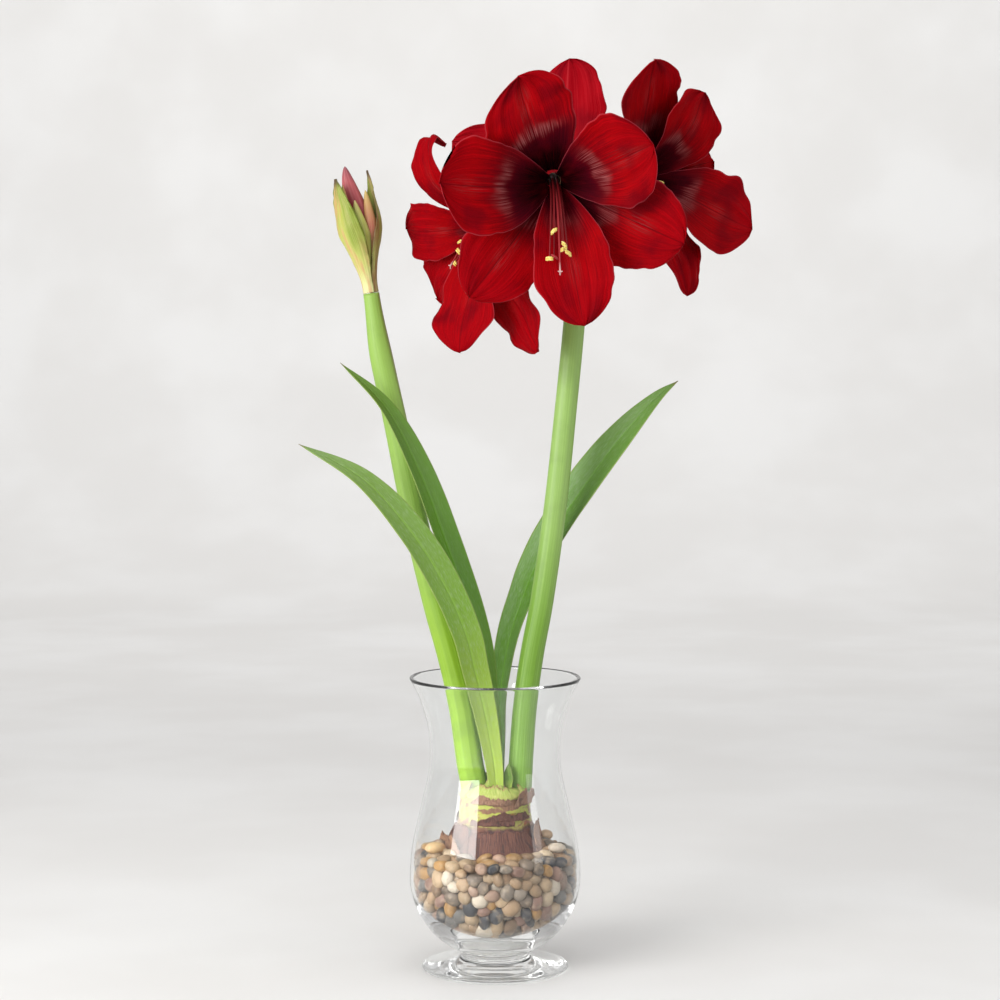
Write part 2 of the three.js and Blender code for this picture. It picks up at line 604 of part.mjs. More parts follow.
const BUDS = {
  bud_tall: { at: [-4, 6], radius: 7.4, length: 104 },
  bud_left: { at: [-9.5, -7], radius: 4, length: 88 },
  bud_front: { at: [1.5, -9.5], radius: 5, length: 72 },
  bud_right: { at: [10.5, -2.5], radius: 4.8, length: 80 },
};

function budSolid({ at: [x, y], radius, length }) {
  const rings = steps(BUD_SOLID.first, 1, BUD_SOLID.steps).map((s) => {
    const height = s * length;
    const spread = Math.min(1, budSpread(height / budLength) * 1.02);
    const taper = Math.sin(Math.PI * Math.min(1, 0.2 + 0.8 * s)) ** 0.75;
    const size = Math.max(BUD_SOLID.tipRadius, radius * Math.min(spread, taper));
    return Array.from({ length: BUD_SOLID.sides }, (_, k) => {
      const turn = (2 * Math.PI * k) / BUD_SOLID.sides;
      return budPoint(height, x * spread + size * Math.cos(turn), y * spread + size * Math.sin(turn));
    });
  });
  return loft(rings);
}

for (const [name, spec] of Object.entries(BUDS)) add(name, budSolid(spec), MATERIALS.bud);

export default part;
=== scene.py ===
"""The looks of an amaryllis growing from its bulb in a glass vase of pebbles, around its CAD frame.

Lengths of the part are millimetres in its frame (+Z up, the front flower faces -Y), and become metres when
a mesh is made. The camera, lamps and backdrop are in metres. Every organic piece is a closed sheet, rod or
turned solid whose points carry the attributes along, across and face, which its procedural material reads.
"""
import math

import bpy
import numpy as np
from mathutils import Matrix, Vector


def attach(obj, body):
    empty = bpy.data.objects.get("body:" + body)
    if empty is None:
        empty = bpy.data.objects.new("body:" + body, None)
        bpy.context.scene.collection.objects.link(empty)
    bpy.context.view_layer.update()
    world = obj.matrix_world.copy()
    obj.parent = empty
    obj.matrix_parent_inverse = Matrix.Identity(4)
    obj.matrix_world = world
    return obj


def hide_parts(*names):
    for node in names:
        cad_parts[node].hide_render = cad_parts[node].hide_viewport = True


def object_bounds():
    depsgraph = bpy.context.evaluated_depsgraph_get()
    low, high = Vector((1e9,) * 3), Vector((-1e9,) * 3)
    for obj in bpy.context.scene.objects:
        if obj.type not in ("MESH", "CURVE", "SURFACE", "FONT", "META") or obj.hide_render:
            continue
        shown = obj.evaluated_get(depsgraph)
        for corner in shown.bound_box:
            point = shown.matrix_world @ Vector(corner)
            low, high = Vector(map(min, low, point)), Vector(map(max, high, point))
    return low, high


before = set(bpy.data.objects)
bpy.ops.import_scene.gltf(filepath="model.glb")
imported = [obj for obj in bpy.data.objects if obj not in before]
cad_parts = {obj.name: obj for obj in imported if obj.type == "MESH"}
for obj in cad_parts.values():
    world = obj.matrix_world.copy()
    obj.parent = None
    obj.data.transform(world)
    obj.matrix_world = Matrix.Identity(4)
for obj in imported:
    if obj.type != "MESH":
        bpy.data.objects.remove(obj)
cad_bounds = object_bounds()
LOW, HIGH = (np.array(corner) * 1000 for corner in cad_bounds)

# ---------- camera and light, in metres ----------

CAMERA_PLACE = (0.004, -1.96, 0.504)
CAMERA_TILT = 3.49  # degrees below level
CAMERA_LENS = 86.93
GLASS_BOUNCES, GLOSS_BOUNCES = 28, 20  # light is trapped many times in the thick foot of the vase
SKY, SKY_STRENGTH = (0.95, 0.95, 0.96, 1), 0.62

scene = bpy.context.scene
camera = bpy.data.objects.new("camera", bpy.data.cameras.new("camera"))
scene.collection.objects.link(camera)
camera.location = CAMERA_PLACE
camera.rotation_euler = (math.radians(90 - CAMERA_TILT), 0, 0)
camera.data.lens = CAMERA_LENS
camera.data.clip_start = 0.05
scene.camera = camera
scene.view_settings.view_transform = "Standard"
scene.cycles.max_bounces = GLASS_BOUNCES
scene.cycles.transmission_bounces = GLASS_BOUNCES
scene.cycles.glossy_bounces = GLOSS_BOUNCES


def softbox(name, location, target, size, radiance, colour=(1, 1, 1)):
    """A rectangular lamp of one radiance, facing its target."""
    data = bpy.data.lights.new(name, "AREA")
    data.shape = "RECTANGLE"
    data.size, data.size_y = size
    data.energy = radiance * math.pi * size[0] * size[1]
    data.color = colour
    lamp = bpy.data.objects.new(name, data)
    scene.collection.objects.link(lamp)
    lamp.location = location
    lamp.rotation_euler = (lamp.location - Vector(target)).to_track_quat("Z", "Y").to_euler()


softbox("window", (-1.43, -1.40, 1.05), (0, 0, 1.05), (1.34, 1.45), 7.6, (1, 0.99, 0.97))
softbox("side_card", (1.7, -0.9, 0.9), (0, 0, 0.7), (0.5, 1.5), 2.0)
softbox("top_fill", (0.2, -0.3, 2.4), (0, 0, 0.4), (1.6, 1.6), 1.8)
softbox("backdrop_light", (0, 1.7, 2.1), (0, 3.8, 1.4), (5.0, 1.0), 2.0)

world = bpy.data.worlds.new("studio")
scene.world = world
world.use_nodes = True
world.node_tree.nodes["Background"].inputs[0].default_value = SKY
world.node_tree.nodes["Background"].inputs[1].default_value = SKY_STRENGTH

# ---------- node materials ----------


class Shader:
    """A Principled material, with short ways to add the nodes that drive it."""

    def __init__(self, name, **settings):
        self.material = bpy.data.materials.new(name)
        self.material.use_nodes = True
        self.tree = self.material.node_tree
        self.surface = self.tree.nodes["Principled BSDF"]
        for key, value in settings.items():
            self.set(self.surface.inputs[key.replace("_", " ")], value)

    def set(self, socket, value):
        if isinstance(value, bpy.types.NodeSocket):
            self.tree.links.new(value, socket)
        elif socket.type == "RGBA" and len(value) == 3:
            socket.default_value = (*value, 1)
        else:
            socket.default_value = value

    def node(self, kind, inputs, output=0, **properties):
        made = self.tree.nodes.new("ShaderNode" + kind)
        for key, value in properties.items():
            setattr(made, key, value)
        for key, value in inputs.items():
            self.set(made.inputs[key], value)
        return made.outputs[output]

    def attributes(self, *names):
        return [self.node("Attribute", {}, "Fac", attribute_name=name) for name in names]

    def place(self):
        return self.node("TexCoord", {}, "Object")

    def math(self, operation, a, b=0.0):
        return self.node("Math", {0: a, 1: b}, operation=operation)

    def scaled(self, value, factor):
        return self.math("MULTIPLY", value, factor)

    def size(self, value):
        return self.math("ABSOLUTE", value)

    def total(self, first, *others):
        for other in others:
            first = self.math("ADD", first, other)
        return first

    def swing(self, noise, reach):
        """A noise moved to centre on 0, times reach."""
        return self.scaled(self.math("SUBTRACT", noise, 0.5), reach)

    def bearing(self, across):
        """The cosine and sine of the way round a stem or bulb, for a pattern with no seam."""
        turn = self.scaled(across, math.pi)
        return self.math("COSINE", turn), self.math("SINE", turn)

    def noise(self, vector, scale=1.0, detail=2.0, rough=0.5):
        inputs = {"Vector": vector, "Scale": scale, "Detail": detail, "Roughness": rough}
        return self.node("TexNoise", inputs, "Fac")

    def streaks(self, x, y, z, **settings):
        """Noise over three coordinates, each a value or (value, how many times it is stretched)."""
        axes = [self.scaled(*axis) if isinstance(axis, tuple) else axis for axis in (x, y, z)]
        return self.noise(self.node("CombineXYZ", dict(enumerate(axes))), **settings)

    def step(self, value, low, high, to=(0.0, 1.0)):
        """Smoothly from to[0] below low to to[1] above high."""
        inputs = {"Value": value, "From Min": low, "From Max": high, "To Min": to[0], "To Max": to[1]}
        return self.node("MapRange", inputs, interpolation_type="SMOOTHSTEP")

    def band(self, value, centre, width):
        """1 at the centre, falling smoothly to 0 at the given distance from it."""
        return self.step(self.size(self.math("SUBTRACT", value, centre)), 0.0, width, (1.0, 0.0))

    def ramp(self, value, *stops):
        made = self.tree.nodes.new("ShaderNodeValToRGB")
        self.set(made.inputs[0], value)
        elements = made.color_ramp.elements
        while len(elements) < len(stops):
            elements.new(0.5)
        for element, (position, colour) in zip(elements, stops):
            element.position = position
            element.color = (*colour, 1)
        return made.outputs[0]

    def mix(self, share, a, b):
        return self.node("Mix", {0: share, 6: a, 7: b}, 2, data_type="RGBA")

    def finish(self, colour, height, depth):
        """Sets the colour, and a bump of the given depth in millimetres, and gives the material."""
        self.set(self.surface.inputs["Base Color"], colour)
        self.bump(height, depth)
        return self.material

    def bump(self, height, depth):
        normal = self.node("Bump", {"Height": height, "Distance": depth * 0.001, "Strength": 1.0})
        self.set(self.surface.inputs["Normal"], normal)


def petal_material():
    """Velvety red with fine lengthwise veins, near-black in the throat (partly its own deeper red, partly
    painted shade of the deep throat), with a broken pale ring of painted velvet sheen round it.
    """
    m = Shader("petal", Roughness=0.6, Specular_IOR_Level=0.025)
    along, across, face, seed, heart = m.attributes("along", "across", "face", "seed", "heart")
    side = m.size(across)
    veins = m.streaks((across, 30), (along, 2.0), (seed, 9), detail=4, rough=0.6)
    fine = m.streaks((across, 80), (along, 5), (seed, 5))
    clouds = m.streaks((across, 1.3), (along, 3.4), (seed, 7))
    depth = m.total(along, heart, m.swing(clouds, 0.30), m.swing(veins, 0.17),
                    m.scaled(m.math("POWER", side, 2.0), 0.10))

    # Near-black towards the throat: partly the tepal's own deeper red, partly painted shade of the deep
    # throat.
    inner = m.ramp(depth, (0.0, (0.002, 0.0, 0.0003)), (0.30, (0.008, 0.0, 0.0008)),
                   (0.46, (0.045, 0.0004, 0.004)), (0.60, (0.15, 0.0003, 0.003)),
                   (0.75, (0.29, 0.0003, 0.002)), (1.0, (0.27, 0.0003, 0.003)))
    lit = m.math("MULTIPLY", m.step(veins, 0.46, 0.66, (0.0, 0.55)), m.step(depth, 0.5, 0.7))
    inner = m.mix(lit, inner, (0.44, 0.0006, 0.004))
    inner = m.mix(m.step(fine, 0.50, 0.66, (0.0, 0.4)), inner, (0.09, 0.0003, 0.003))
    inner = m.mix(m.step(clouds, 0.48, 0.72, (0.0, 0.65)), inner, (0.10, 0.0004, 0.004))
    # A broken pale ring round the throat, streaked along the veins: painted velvet sheen.
    painted_sheen_halo = m.math("MULTIPLY", m.band(depth, 0.57, 0.085), m.step(veins, 0.40, 0.60))
    painted_sheen_halo = m.math("MULTIPLY", painted_sheen_halo, m.step(side, 0.25, 0.85, (0.46, 0.02)))
    painted_sheen_halo = m.math("MULTIPLY", painted_sheen_halo, m.step(heart, 0.0, 0.25, (1.0, 0.25)))
    inner = m.mix(painted_sheen_halo, inner, (0.36, 0.13, 0.13))
    # Pale streaks along the midrib towards the tip: painted velvet sheen.
    painted_midrib_sheen = m.math("MULTIPLY", m.band(depth, 0.80, 0.2), m.band(across, 0.0, 0.3))
    painted_midrib_sheen = m.math("MULTIPLY", m.step(fine, 0.5, 0.62), painted_midrib_sheen)
    inner = m.mix(m.scaled(painted_midrib_sheen, 0.22), inner, (0.45, 0.12, 0.12))
    # A thin dark line down the midrib crease: painted shade of the crease.
    inner = m.mix(m.scaled(m.band(across, 0.0, 0.03), 0.5), inner, (0.05, 0.0004, 0.003))

    outer = m.ramp(along, (0.0, (0.08, 0.02, 0.008)), (0.2, (0.14, 0.003, 0.005)),
                   (0.6, (0.33, 0.001, 0.006)), (1.0, (0.30, 0.0008, 0.006)))
    outer = m.mix(m.step(veins, 0.4, 0.65, (0.0, 0.5)), outer, (0.45, 0.012, 0.02))
    outer = m.mix(m.step(clouds, 0.48, 0.72, (0.0, 0.5)), outer, (0.12, 0.0006, 0.006))
    outer = m.mix(m.scaled(m.band(across, 0.0, 0.05), 0.4), outer, (0.50, 0.04, 0.05))

    colour = m.mix(m.step(face, -0.2, 0.2), outer, inner)
    colour = m.mix(m.step(side, 0.965, 0.995, (0.0, 0.35)), colour, (0.45, 0.07, 0.09))
    return m.finish(colour, m.total(veins, m.scaled(fine, 0.5)), 0.45)


def leaf_material(name, foot, blade, tip, bloom):
    """foot, blade and tip are colours along the leaf; bloom is how much grey wax lies on it."""
    m = Shader(name, Roughness=0.36, Specular_IOR_Level=0.45)
    along, across = m.attributes("along", "across")
    lines = m.streaks((across, 30), (along, 1.5), 0.0, detail=3)
    cells = m.streaks((across, 26), (along, 60), 3.0)
    colour = m.ramp(along, (0.0, foot), (0.45, blade), (1.0, tip))
    colour = m.mix(m.step(lines, 0.45, 0.7, (0.0, 0.4)), colour, [1.5 * c for c in blade])
    colour = m.mix(m.scaled(m.step(cells, 0.45, 0.75), bloom), colour, (0.42, 0.52, 0.36))
    colour = m.mix(m.scaled(m.band(across, 0.0, 0.12), 0.35), colour, [1.7 * c for c in blade])
    colour = m.mix(m.step(m.size(across), 0.93, 0.99, (0.0, 0.6)), colour, (0.30, 0.38, 0.10))
    colour = m.mix(m.step(along, 0.975, 1.0, (0.0, 0.8)), colour, (0.16, 0.10, 0.03))
    return m.finish(colour, m.total(lines, m.scaled(cells, 0.25)), 0.25)


def scape_material(name, low, high, ruddy_shade_side, blush):
    """low and high are colours along the stem, whose top is darker and reddish-brown on one side: partly the
    stem's own tint, partly painted shade.
    """
    m = Shader(name, Roughness=0.4, Specular_IOR_Level=0.4)
    along, across = m.attributes("along", "across")
    east, north = m.bearing(across)
    lines = m.streaks((east, 9), (north, 9), (along, 3.0), detail=4, rough=0.6)
    blotches = m.noise(m.place(), scale=38, detail=3)
    colour = m.ramp(along, (0.0, low), (0.3, low), (0.5, high), (1.0, high))
    colour = m.mix(m.step(lines, 0.42, 0.7, (0.0, 0.45)), colour, [1.3 * c for c in high])
    colour = m.mix(m.step(blotches, 0.5, 0.75, (0.0, 0.3)), colour, [0.6 * c for c in high])
    # Darker, reddish-brown side near the top: partly the stem's own tint, partly painted shade; blush sets
    # how strong.
    ruddy_tint_and_shade = m.math("MULTIPLY", m.step(along, 0.62, 0.92), m.band(across, ruddy_shade_side, 0.22))
    colour = m.mix(m.scaled(ruddy_tint_and_shade, blush), colour, (0.20, 0.10, 0.035))
    return m.finish(colour, lines, 0.22)


def bulb_material():
    """Brown paper below, and yellow-green flesh between torn brown layers towards the neck."""
    m = Shader("bulb", Roughness=0.5, Specular_IOR_Level=0.3)
    along, across = m.attributes("along", "across")
    place = m.place()
    height = m.node("SeparateXYZ", {0: place}, 2)
    east, north = m.bearing(across)
    fibres = m.streaks((east, 16), (north, 16), (along, 3), detail=5, rough=0.65)
    spots = m.noise(place, scale=150)
    drift = m.streaks((east, 1.6), (north, 1.6), (height, 20), detail=3)
    level = m.total(height, m.scaled(drift, 0.022))
    strata = m.streaks((east, 0.9), (north, 0.9), (level, 170), detail=3, rough=0.6)
    flesh = m.ramp(m.scaled(height, 6), (0.70, (0.34, 0.28, 0.06)), (0.80, (0.38, 0.41, 0.07)),
                   (0.90, (0.38, 0.42, 0.08)))
    flesh = m.mix(m.step(fibres, 0.45, 0.7, (0.0, 0.35)), flesh, (0.56, 0.46, 0.16))
    flesh = m.mix(m.step(spots, 0.60, 0.68, (0.0, 0.9)), flesh, (0.26, 0.035, 0.012))
    torn = m.mix(fibres, (0.09, 0.03, 0.02), (0.36, 0.17, 0.11))
    flesh = m.mix(m.step(strata, 0.50, 0.57, (0.0, 0.95)), flesh, torn)
    paper = m.mix(m.step(fibres, 0.34, 0.68), (0.05, 0.014, 0.014), (0.13, 0.045, 0.035))
    paper = m.mix(m.step(strata, 0.48, 0.66, (0.0, 0.7)), paper, (0.24, 0.085, 0.03))
    bare = m.step(m.total(height, m.scaled(drift, 0.012)), 0.124, 0.128)
    return m.finish(m.mix(bare, paper, flesh), m.total(fibres, strata), 0.8)


def tunic_material(name, dark, light):
    m = Shader(name, Roughness=0.62, Specular_IOR_Level=0.3)
    along, across = m.attributes("along", "across")
    fibres = m.streaks((across, 22), (along, 2), 0.0, detail=5, rough=0.65)
    flecks = m.noise(m.place(), scale=170, detail=3)
    colour = m.mix(m.step(fibres, 0.36, 0.64), dark, light)
    colour = m.mix(m.step(flecks, 0.56, 0.66, (0.0, 0.6)), colour, [0.4 * c for c in dark])
    return m.finish(colour, fibres, 0.6)


def pebble_material():
    m = Shader("pebble", Roughness=0.5, Specular_IOR_Level=0.4)
    own = m.node("Attribute", {}, "Color", attribute_name="tint")
    (seed,) = m.attributes("seed")
    apart = m.node("CombineXYZ", {0: seed, 1: seed, 2: seed})
    shifted = m.node("VectorMath", {0: m.place(), 1: apart}, operation="ADD")
    grain = m.noise(shifted, scale=900, detail=3, rough=0.7)
    patches = m.noise(shifted, scale=170, detail=3)
    colour = m.mix(m.step(patches, 0.50, 0.72, (0.0, 0.4)), own, (0.50, 0.38, 0.26))
    colour = m.mix(m.step(grain, 0.54, 0.68, (0.0, 0.5)), colour, (0.10, 0.075, 0.06))
    m.set(m.surface.inputs["Roughness"], m.step(grain, 0.3, 0.7, (0.38, 0.62)))
    return m.finish(colour, grain, 0.12)


def spathe_material(name, stops, edge, blush):
    """stops are colours along the valve, whose shaded side is green."""
    m = Shader(name, Roughness=0.45, Specular_IOR_Level=0.35)
    along, across = m.attributes("along", "across")
    lines = m.streaks((across, 26), (along, 2), 1.0, detail=4, rough=0.6)
    patches = m.streaks((across, 2.5), (along, 3.5), 0.0)
    shaded = m.math("MULTIPLY", m.step(across, 0.15, 0.35), m.step(along, 0.25, 0.5))
    colour = m.mix(m.step(patches, 0.42, 0.60, (0.0, 0.75)), m.ramp(along, *stops), blush)
    colour = m.mix(m.scaled(shaded, 0.85), colour, (0.19, 0.27, 0.02))
    colour = m.mix(m.step(lines, 0.45, 0.68, (0.0, 0.4)), colour, (0.66, 0.62, 0.26))
    colour = m.mix(m.step(m.size(across), 0.86, 0.99, (0.0, 0.75)), colour, edge)
    colour = m.mix(m.step(along, 0.90, 0.99, (0.0, 0.9)), colour, (0.06, 0.03, 0.012))
    return m.finish(colour, lines, 0.3)


def plain_organic(name, stops, streak, roughness=0.5, depth=0.2, lines=16.0):
    """Colours along a piece, streaked lengthwise."""
    m = Shader(name, Roughness=roughness, Specular_IOR_Level=0.35)
    along, across, seed = m.attributes("along", "across", "seed")
    streaks = m.streaks((across, lines), (along, 2.5), seed, detail=4)
    colour = m.mix(m.step(streaks, 0.42, 0.68, (0.0, 0.6)), m.ramp(along, *stops), streak)
    return m.finish(colour, streaks, depth)


def pollen_material():
    m = Shader("pollen", Roughness=0.85, Specular_IOR_Level=0.15)
    grain = m.noise(m.place(), scale=1500)
    return m.finish(m.mix(m.step(grain, 0.4, 0.6), (0.62, 0.42, 0.06), (0.86, 0.74, 0.28)), grain, 0.25)


def glass_material():
    """Clear glass that lets the lamps' light straight through, so that what it holds isn't dark."""
    m = Shader("glass", Base_Color=(0.985, 0.995, 0.992), Roughness=0.0, IOR=1.45, Transmission_Weight=1.0)
    m.bump(m.noise(m.place(), scale=14, detail=1), 0.12)
    clear = m.node("BsdfTransparent", {"Color": (0.96, 0.97, 0.97, 1)})
    shadow = m.node("LightPath", {}, "Is Shadow Ray")
    lamps_pass = m.node("MixShader", {0: shadow, 1: m.surface.outputs[0], 2: clear})
    m.set(m.tree.nodes["Material Output"].inputs["Surface"], lamps_pass)
    return m.material


def floor_material():
    m = Shader("floor", Roughness=0.55, Specular_IOR_Level=0.25)
    tone = m.step(m.noise(m.place(), scale=3, detail=3), 0.35, 0.7)
    m.set(m.surface.inputs["Base Color"], m.mix(tone, (0.74, 0.73, 0.715), (0.79, 0.785, 0.775)))
    return m.material


LOOKS = {
    "petal": petal_material(),
    "leaf_left_long": leaf_material(
        "leaf_long", (0.38, 0.50, 0.05), (0.17, 0.33, 0.025), (0.14, 0.24, 0.06), 0.35),
    "leaf_left_upright": leaf_material(
        "leaf_upright", (0.13, 0.25, 0.01), (0.09, 0.24, 0.004), (0.11, 0.21, 0.03), 0.12),
    "leaf_right": leaf_material(
        "leaf_right", (0.05, 0.14, 0.003), (0.08, 0.21, 0.006), (0.12, 0.24, 0.04), 0.2),
    "leaf_shoot": leaf_material(
        "leaf_shoot", (0.30, 0.38, 0.05), (0.10, 0.20, 0.02), (0.10, 0.16, 0.02), 0.1),
    "scape_flowers": scape_material("scape_green", (0.15, 0.30, 0.028), (0.26, 0.42, 0.105), 0.45, 0.25),
    "scape_bud": scape_material("scape_pale", (0.27, 0.46, 0.03), (0.25, 0.41, 0.075), 0.0, 0.8),
    "bulb": bulb_material(),
    "tunic": tunic_material("tunic", (0.055, 0.016, 0.014), (0.17, 0.065, 0.04)),
    "tunic_tan": tunic_material("tunic_tan", (0.17, 0.075, 0.045), (0.36, 0.21, 0.13)),
    "husk": tunic_material("husk", (0.34, 0.24, 0.13), (0.62, 0.50, 0.32)),
    "pebble": pebble_material(),
    "valve_left": spathe_material("spathe_left", (
        (0.0, (0.68, 0.70, 0.36)), (0.25, (0.50, 0.52, 0.14)), (0.75, (0.34, 0.37, 0.05)),
        (1.0, (0.16, 0.13, 0.03))), (0.13, 0.19, 0.015), (0.56, 0.31, 0.14)),
    "valve_right": spathe_material("spathe_right", (
        (0.0, (0.52, 0.54, 0.24)), (0.3, (0.34, 0.42, 0.10)), (0.8, (0.28, 0.36, 0.06)),
        (1.0, (0.14, 0.10, 0.03))), (0.16, 0.08, 0.03), (0.30, 0.17, 0.07)),
    "bud_red": plain_organic("bud_red", (
        (0.0, (0.30, 0.34, 0.08)), (0.5, (0.26, 0.035, 0.05)), (0.85, (0.40, 0.08, 0.09)),
        (1.0, (0.14, 0.03, 0.05))), (0.48, 0.15, 0.15)),
    "bud_green": plain_organic("bud_green", (
        (0.0, (0.34, 0.42, 0.08)), (0.8, (0.48, 0.55, 0.12)), (1.0, (0.52, 0.42, 0.16))), (0.62, 0.62, 0.25)),
    "bud_mixed": plain_organic("bud_mixed", (
        (0.0, (0.30, 0.34, 0.08)), (0.6, (0.48, 0.14, 0.10)), (1.0, (0.50, 0.40, 0.12))), (0.50, 0.25, 0.14)),
    # The tube's last stops, inside the throat, go near-black: painted shade of the throat over the tube's own
    # red.
    "tube": plain_organic("tube", (
        (0.0, (0.26, 0.38, 0.08)), (0.6, (0.22, 0.32, 0.07)), (0.8, (0.20, 0.09, 0.04)),
        (0.95, (0.10, 0.004, 0.006)), (1.0, (0.006, 0.0, 0.001))), (0.24, 0.20, 0.08)),
    # Near-black at the foot, down in the throat: painted shade of the throat.
    "filament": plain_organic("filament", (
        (0.0, (0.02, 0.0, 0.002)), (0.4, (0.10, 0.0005, 0.003)), (1.0, (0.20, 0.002, 0.005))),
        (0.22, 0.006, 0.008), 0.5, 0.05, 4.0),
    "anther": plain_organic("anther", (
        (0.0, (0.30, 0.01, 0.02)), (1.0, (0.42, 0.02, 0.03))), (0.5, 0.1, 0.08), 0.5, 0.1, 6.0),
    # Near-black at the foot, down in the throat: painted shade of the throat.
    "stigma": plain_organic("stigma", (
        (0.0, (0.02, 0.0, 0.002)), (0.5, (0.18, 0.001, 0.005)), (0.93, (0.30, 0.01, 0.015)),
        (1.0, (0.60, 0.42, 0.40))), (0.36, 0.04, 0.04), 0.6, 0.05, 5.0),
    "pollen": pollen_material(),
    "collar": plain_organic("collar", (
        (0.0, (0.36, 0.38, 0.08)), (0.78, (0.27, 0.37, 0.06)), (0.9, (0.30, 0.20, 0.07)),
        (1.0, (0.22, 0.10, 0.05))), (0.58, 0.55, 0.20), 0.5, 0.5, 20.0),
    "glass": glass_material(),
    "floor": floor_material(),
}

# ---------- meshes ----------


def waves(points, wavelength, seed, octaves=3):
    """Smooth seeded noise from -1 to 1 at points of any count of dimensions, as a sum of plane waves."""
    points = np.asarray(points, float)
    draw = np.random.default_rng(seed)
    total = np.zeros(points.shape[:-1])
    for octave in range(octaves):
        for _ in range(5):
            way = draw.normal(size=points.shape[-1])
            way *= 2 * np.pi * 2**octave / (wavelength * np.linalg.norm(way))
            total += np.sin(points @ way + draw.uniform(0, 2 * np.pi)) * 0.6**octave / 5
    return total


def ripple(wavelength, seed, *coordinates, octaves=3):
    """waves over separate coordinates that broadcast together."""
    return waves(np.stack(np.broadcast_arrays(*coordinates), -1), wavelength, seed, octaves)


def add_piece(name, parts, replaces=(), seed=0.0):
    """One object from parts, each (points in mm, faces, material name, {attribute: values})."""
    looks, points, faces, indices, start = [], [], [], [], 0
    fields = {"along": [], "across": [], "face": [], "seed": [], "heart": []}
    for part_points, part_faces, look, values in parts:
        if look not in looks:
            looks.append(look)
        points.append(np.clip(part_points, LOW, HIGH) / 1000)
        faces += [tuple(start + k for k in face) for face in part_faces]
        indices += [looks.index(look)] * len(part_faces)
        for key, column in fields.items():
            value = values.get(key, seed if key == "seed" else 0.0)
            column.append(np.broadcast_to(value, len(part_points)))
        start += len(part_points)
    mesh = bpy.data.meshes.new(name)
    mesh.from_pydata(np.concatenate(points).tolist(), [], faces)
    for key, column in fields.items():
        attribute = mesh.attributes.new(key, "FLOAT", "POINT")
        attribute.data.foreach_set("value", np.concatenate(column).astype(np.float32))
    tints = [values["tint"] for *_, values in parts if "tint" in values]
    if tints:
        attribute = mesh.attributes.new("tint", "FLOAT_COLOR", "POINT")
        attribute.data.foreach_set("color", np.concatenate(tints).astype(np.float32).ravel())
    for look in looks:
        mesh.materials.append(LOOKS[look])
    mesh.polygons.foreach_set("material_index", indices)
    mesh.polygons.foreach_set("use_smooth", [True] * len(mesh.polygons))
    mesh.update()
    piece = bpy.data.objects.new(name, mesh)
    scene.collection.objects.link(piece)
    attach(piece, "root")
    if replaces:
        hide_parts(*replaces)


def grid(rows, columns):
    """s, from 0 to 1 down the rows, and v, from -1 to 1 over the columns, of a sheet."""
    return np.meshgrid(np.linspace(0, 1, rows), np.linspace(-1, 1, columns), indexing="ij")


def grid_faces(rows, columns, wrap=False):
    faces = []
    for i in range(rows - 1):
        for j in range(columns if wrap else columns - 1):
            a, b = i * columns + j, i * columns + (j + 1) % columns
            faces.append((a, a + columns, b + columns, b))
    return faces


def grid_normals(surface):
    normal = np.cross(np.gradient(surface, axis=0), np.gradient(surface, axis=1))
    return normal / np.maximum(np.linalg.norm(normal, axis=-1, keepdims=True), 1e-9)


def sheet_part(surface, thickness, look, along, across):
    """A closed thin sheet about a grid of points; thickness is a number or a grid of them."""
    rows, columns = surface.shape[:2]
    offset = grid_normals(surface) * np.broadcast_to(thickness, (rows, columns))[..., None] / 2
    points = np.concatenate([(surface + offset).reshape(-1, 3), (surface - offset).reshape(-1, 3)])
    back = rows * columns
    faces = grid_faces(rows, columns)
    faces += [tuple(reversed([k + back for k in face])) for face in grid_faces(rows, columns)]
    border = list(range(columns)) + [i * columns + columns - 1 for i in range(1, rows)]
    border += [(rows - 1) * columns + j for j in range(columns - 2, -1, -1)]
    border += [i * columns for i in range(rows - 2, 0, -1)]
    for a, b in zip(border, border[1:] + border[:1]):
        faces.append((a, b, b + back, a + back))
    values = {
        "along": np.tile(along.ravel(), 2),
        "across": np.tile(across.ravel(), 2),
        "face": np.repeat([1.0, -1.0], back),
    }
    return points, faces, look, values


def tube_part(rings, look, along=None):
    """A closed skin over rings (count x sides x 3), with flat ends."""
    count, sides = rings.shape[:2]
    points = np.concatenate([rings.reshape(-1, 3), rings[0].mean(0)[None], rings[-1].mean(0)[None]])
    faces = [tuple(reversed(face)) for face in grid_faces(count, sides, wrap=True)]
    first, last, end = count * sides, count * sides + 1, (count - 1) * sides
    for k in range(sides):
        faces.append((first, (k + 1) % sides, k))
        faces.append((last, end + k, end + (k + 1) % sides))
    along = np.linspace(0, 1, count) if along is None else along
    turn = np.linspace(-1, 1, sides, endpoint=False)
    values = {
        "along": np.concatenate([np.repeat(along, sides), [along[0], along[-1]]]),
        "across": np.concatenate([np.tile(turn, count), [0, 0]]),
    }
    return points, faces, look, values


def bearings(sides):
    """The way to each side of a ring, in radians."""
    return np.linspace(-np.pi, np.pi, sides, endpoint=False)


def turned_part(profile, sides, look, bumps=None):
    """A solid turned about the Z axis from a profile of (radius, height) that starts and ends on the axis."""
    profile = np.asarray(profile, float)
    body, turn = profile[1:-1], bearings(sides)
    rings = np.stack([body[:, :1] * np.cos(turn), body[:, :1] * np.sin(turn), body[:, 1:] + 0 * turn], -1)
    if bumps is not None:
        out = np.stack([np.cos(turn), np.sin(turn), 0 * turn], -1)
        rings = rings + out[None] * bumps(rings)[..., None]
    points, faces, look, values = tube_part(rings, look)
    points[-2], points[-1] = (0, 0, profile[0, 1]), (0, 0, profile[-1, 1])
    return points, faces, look, values


# ---------- curves ----------


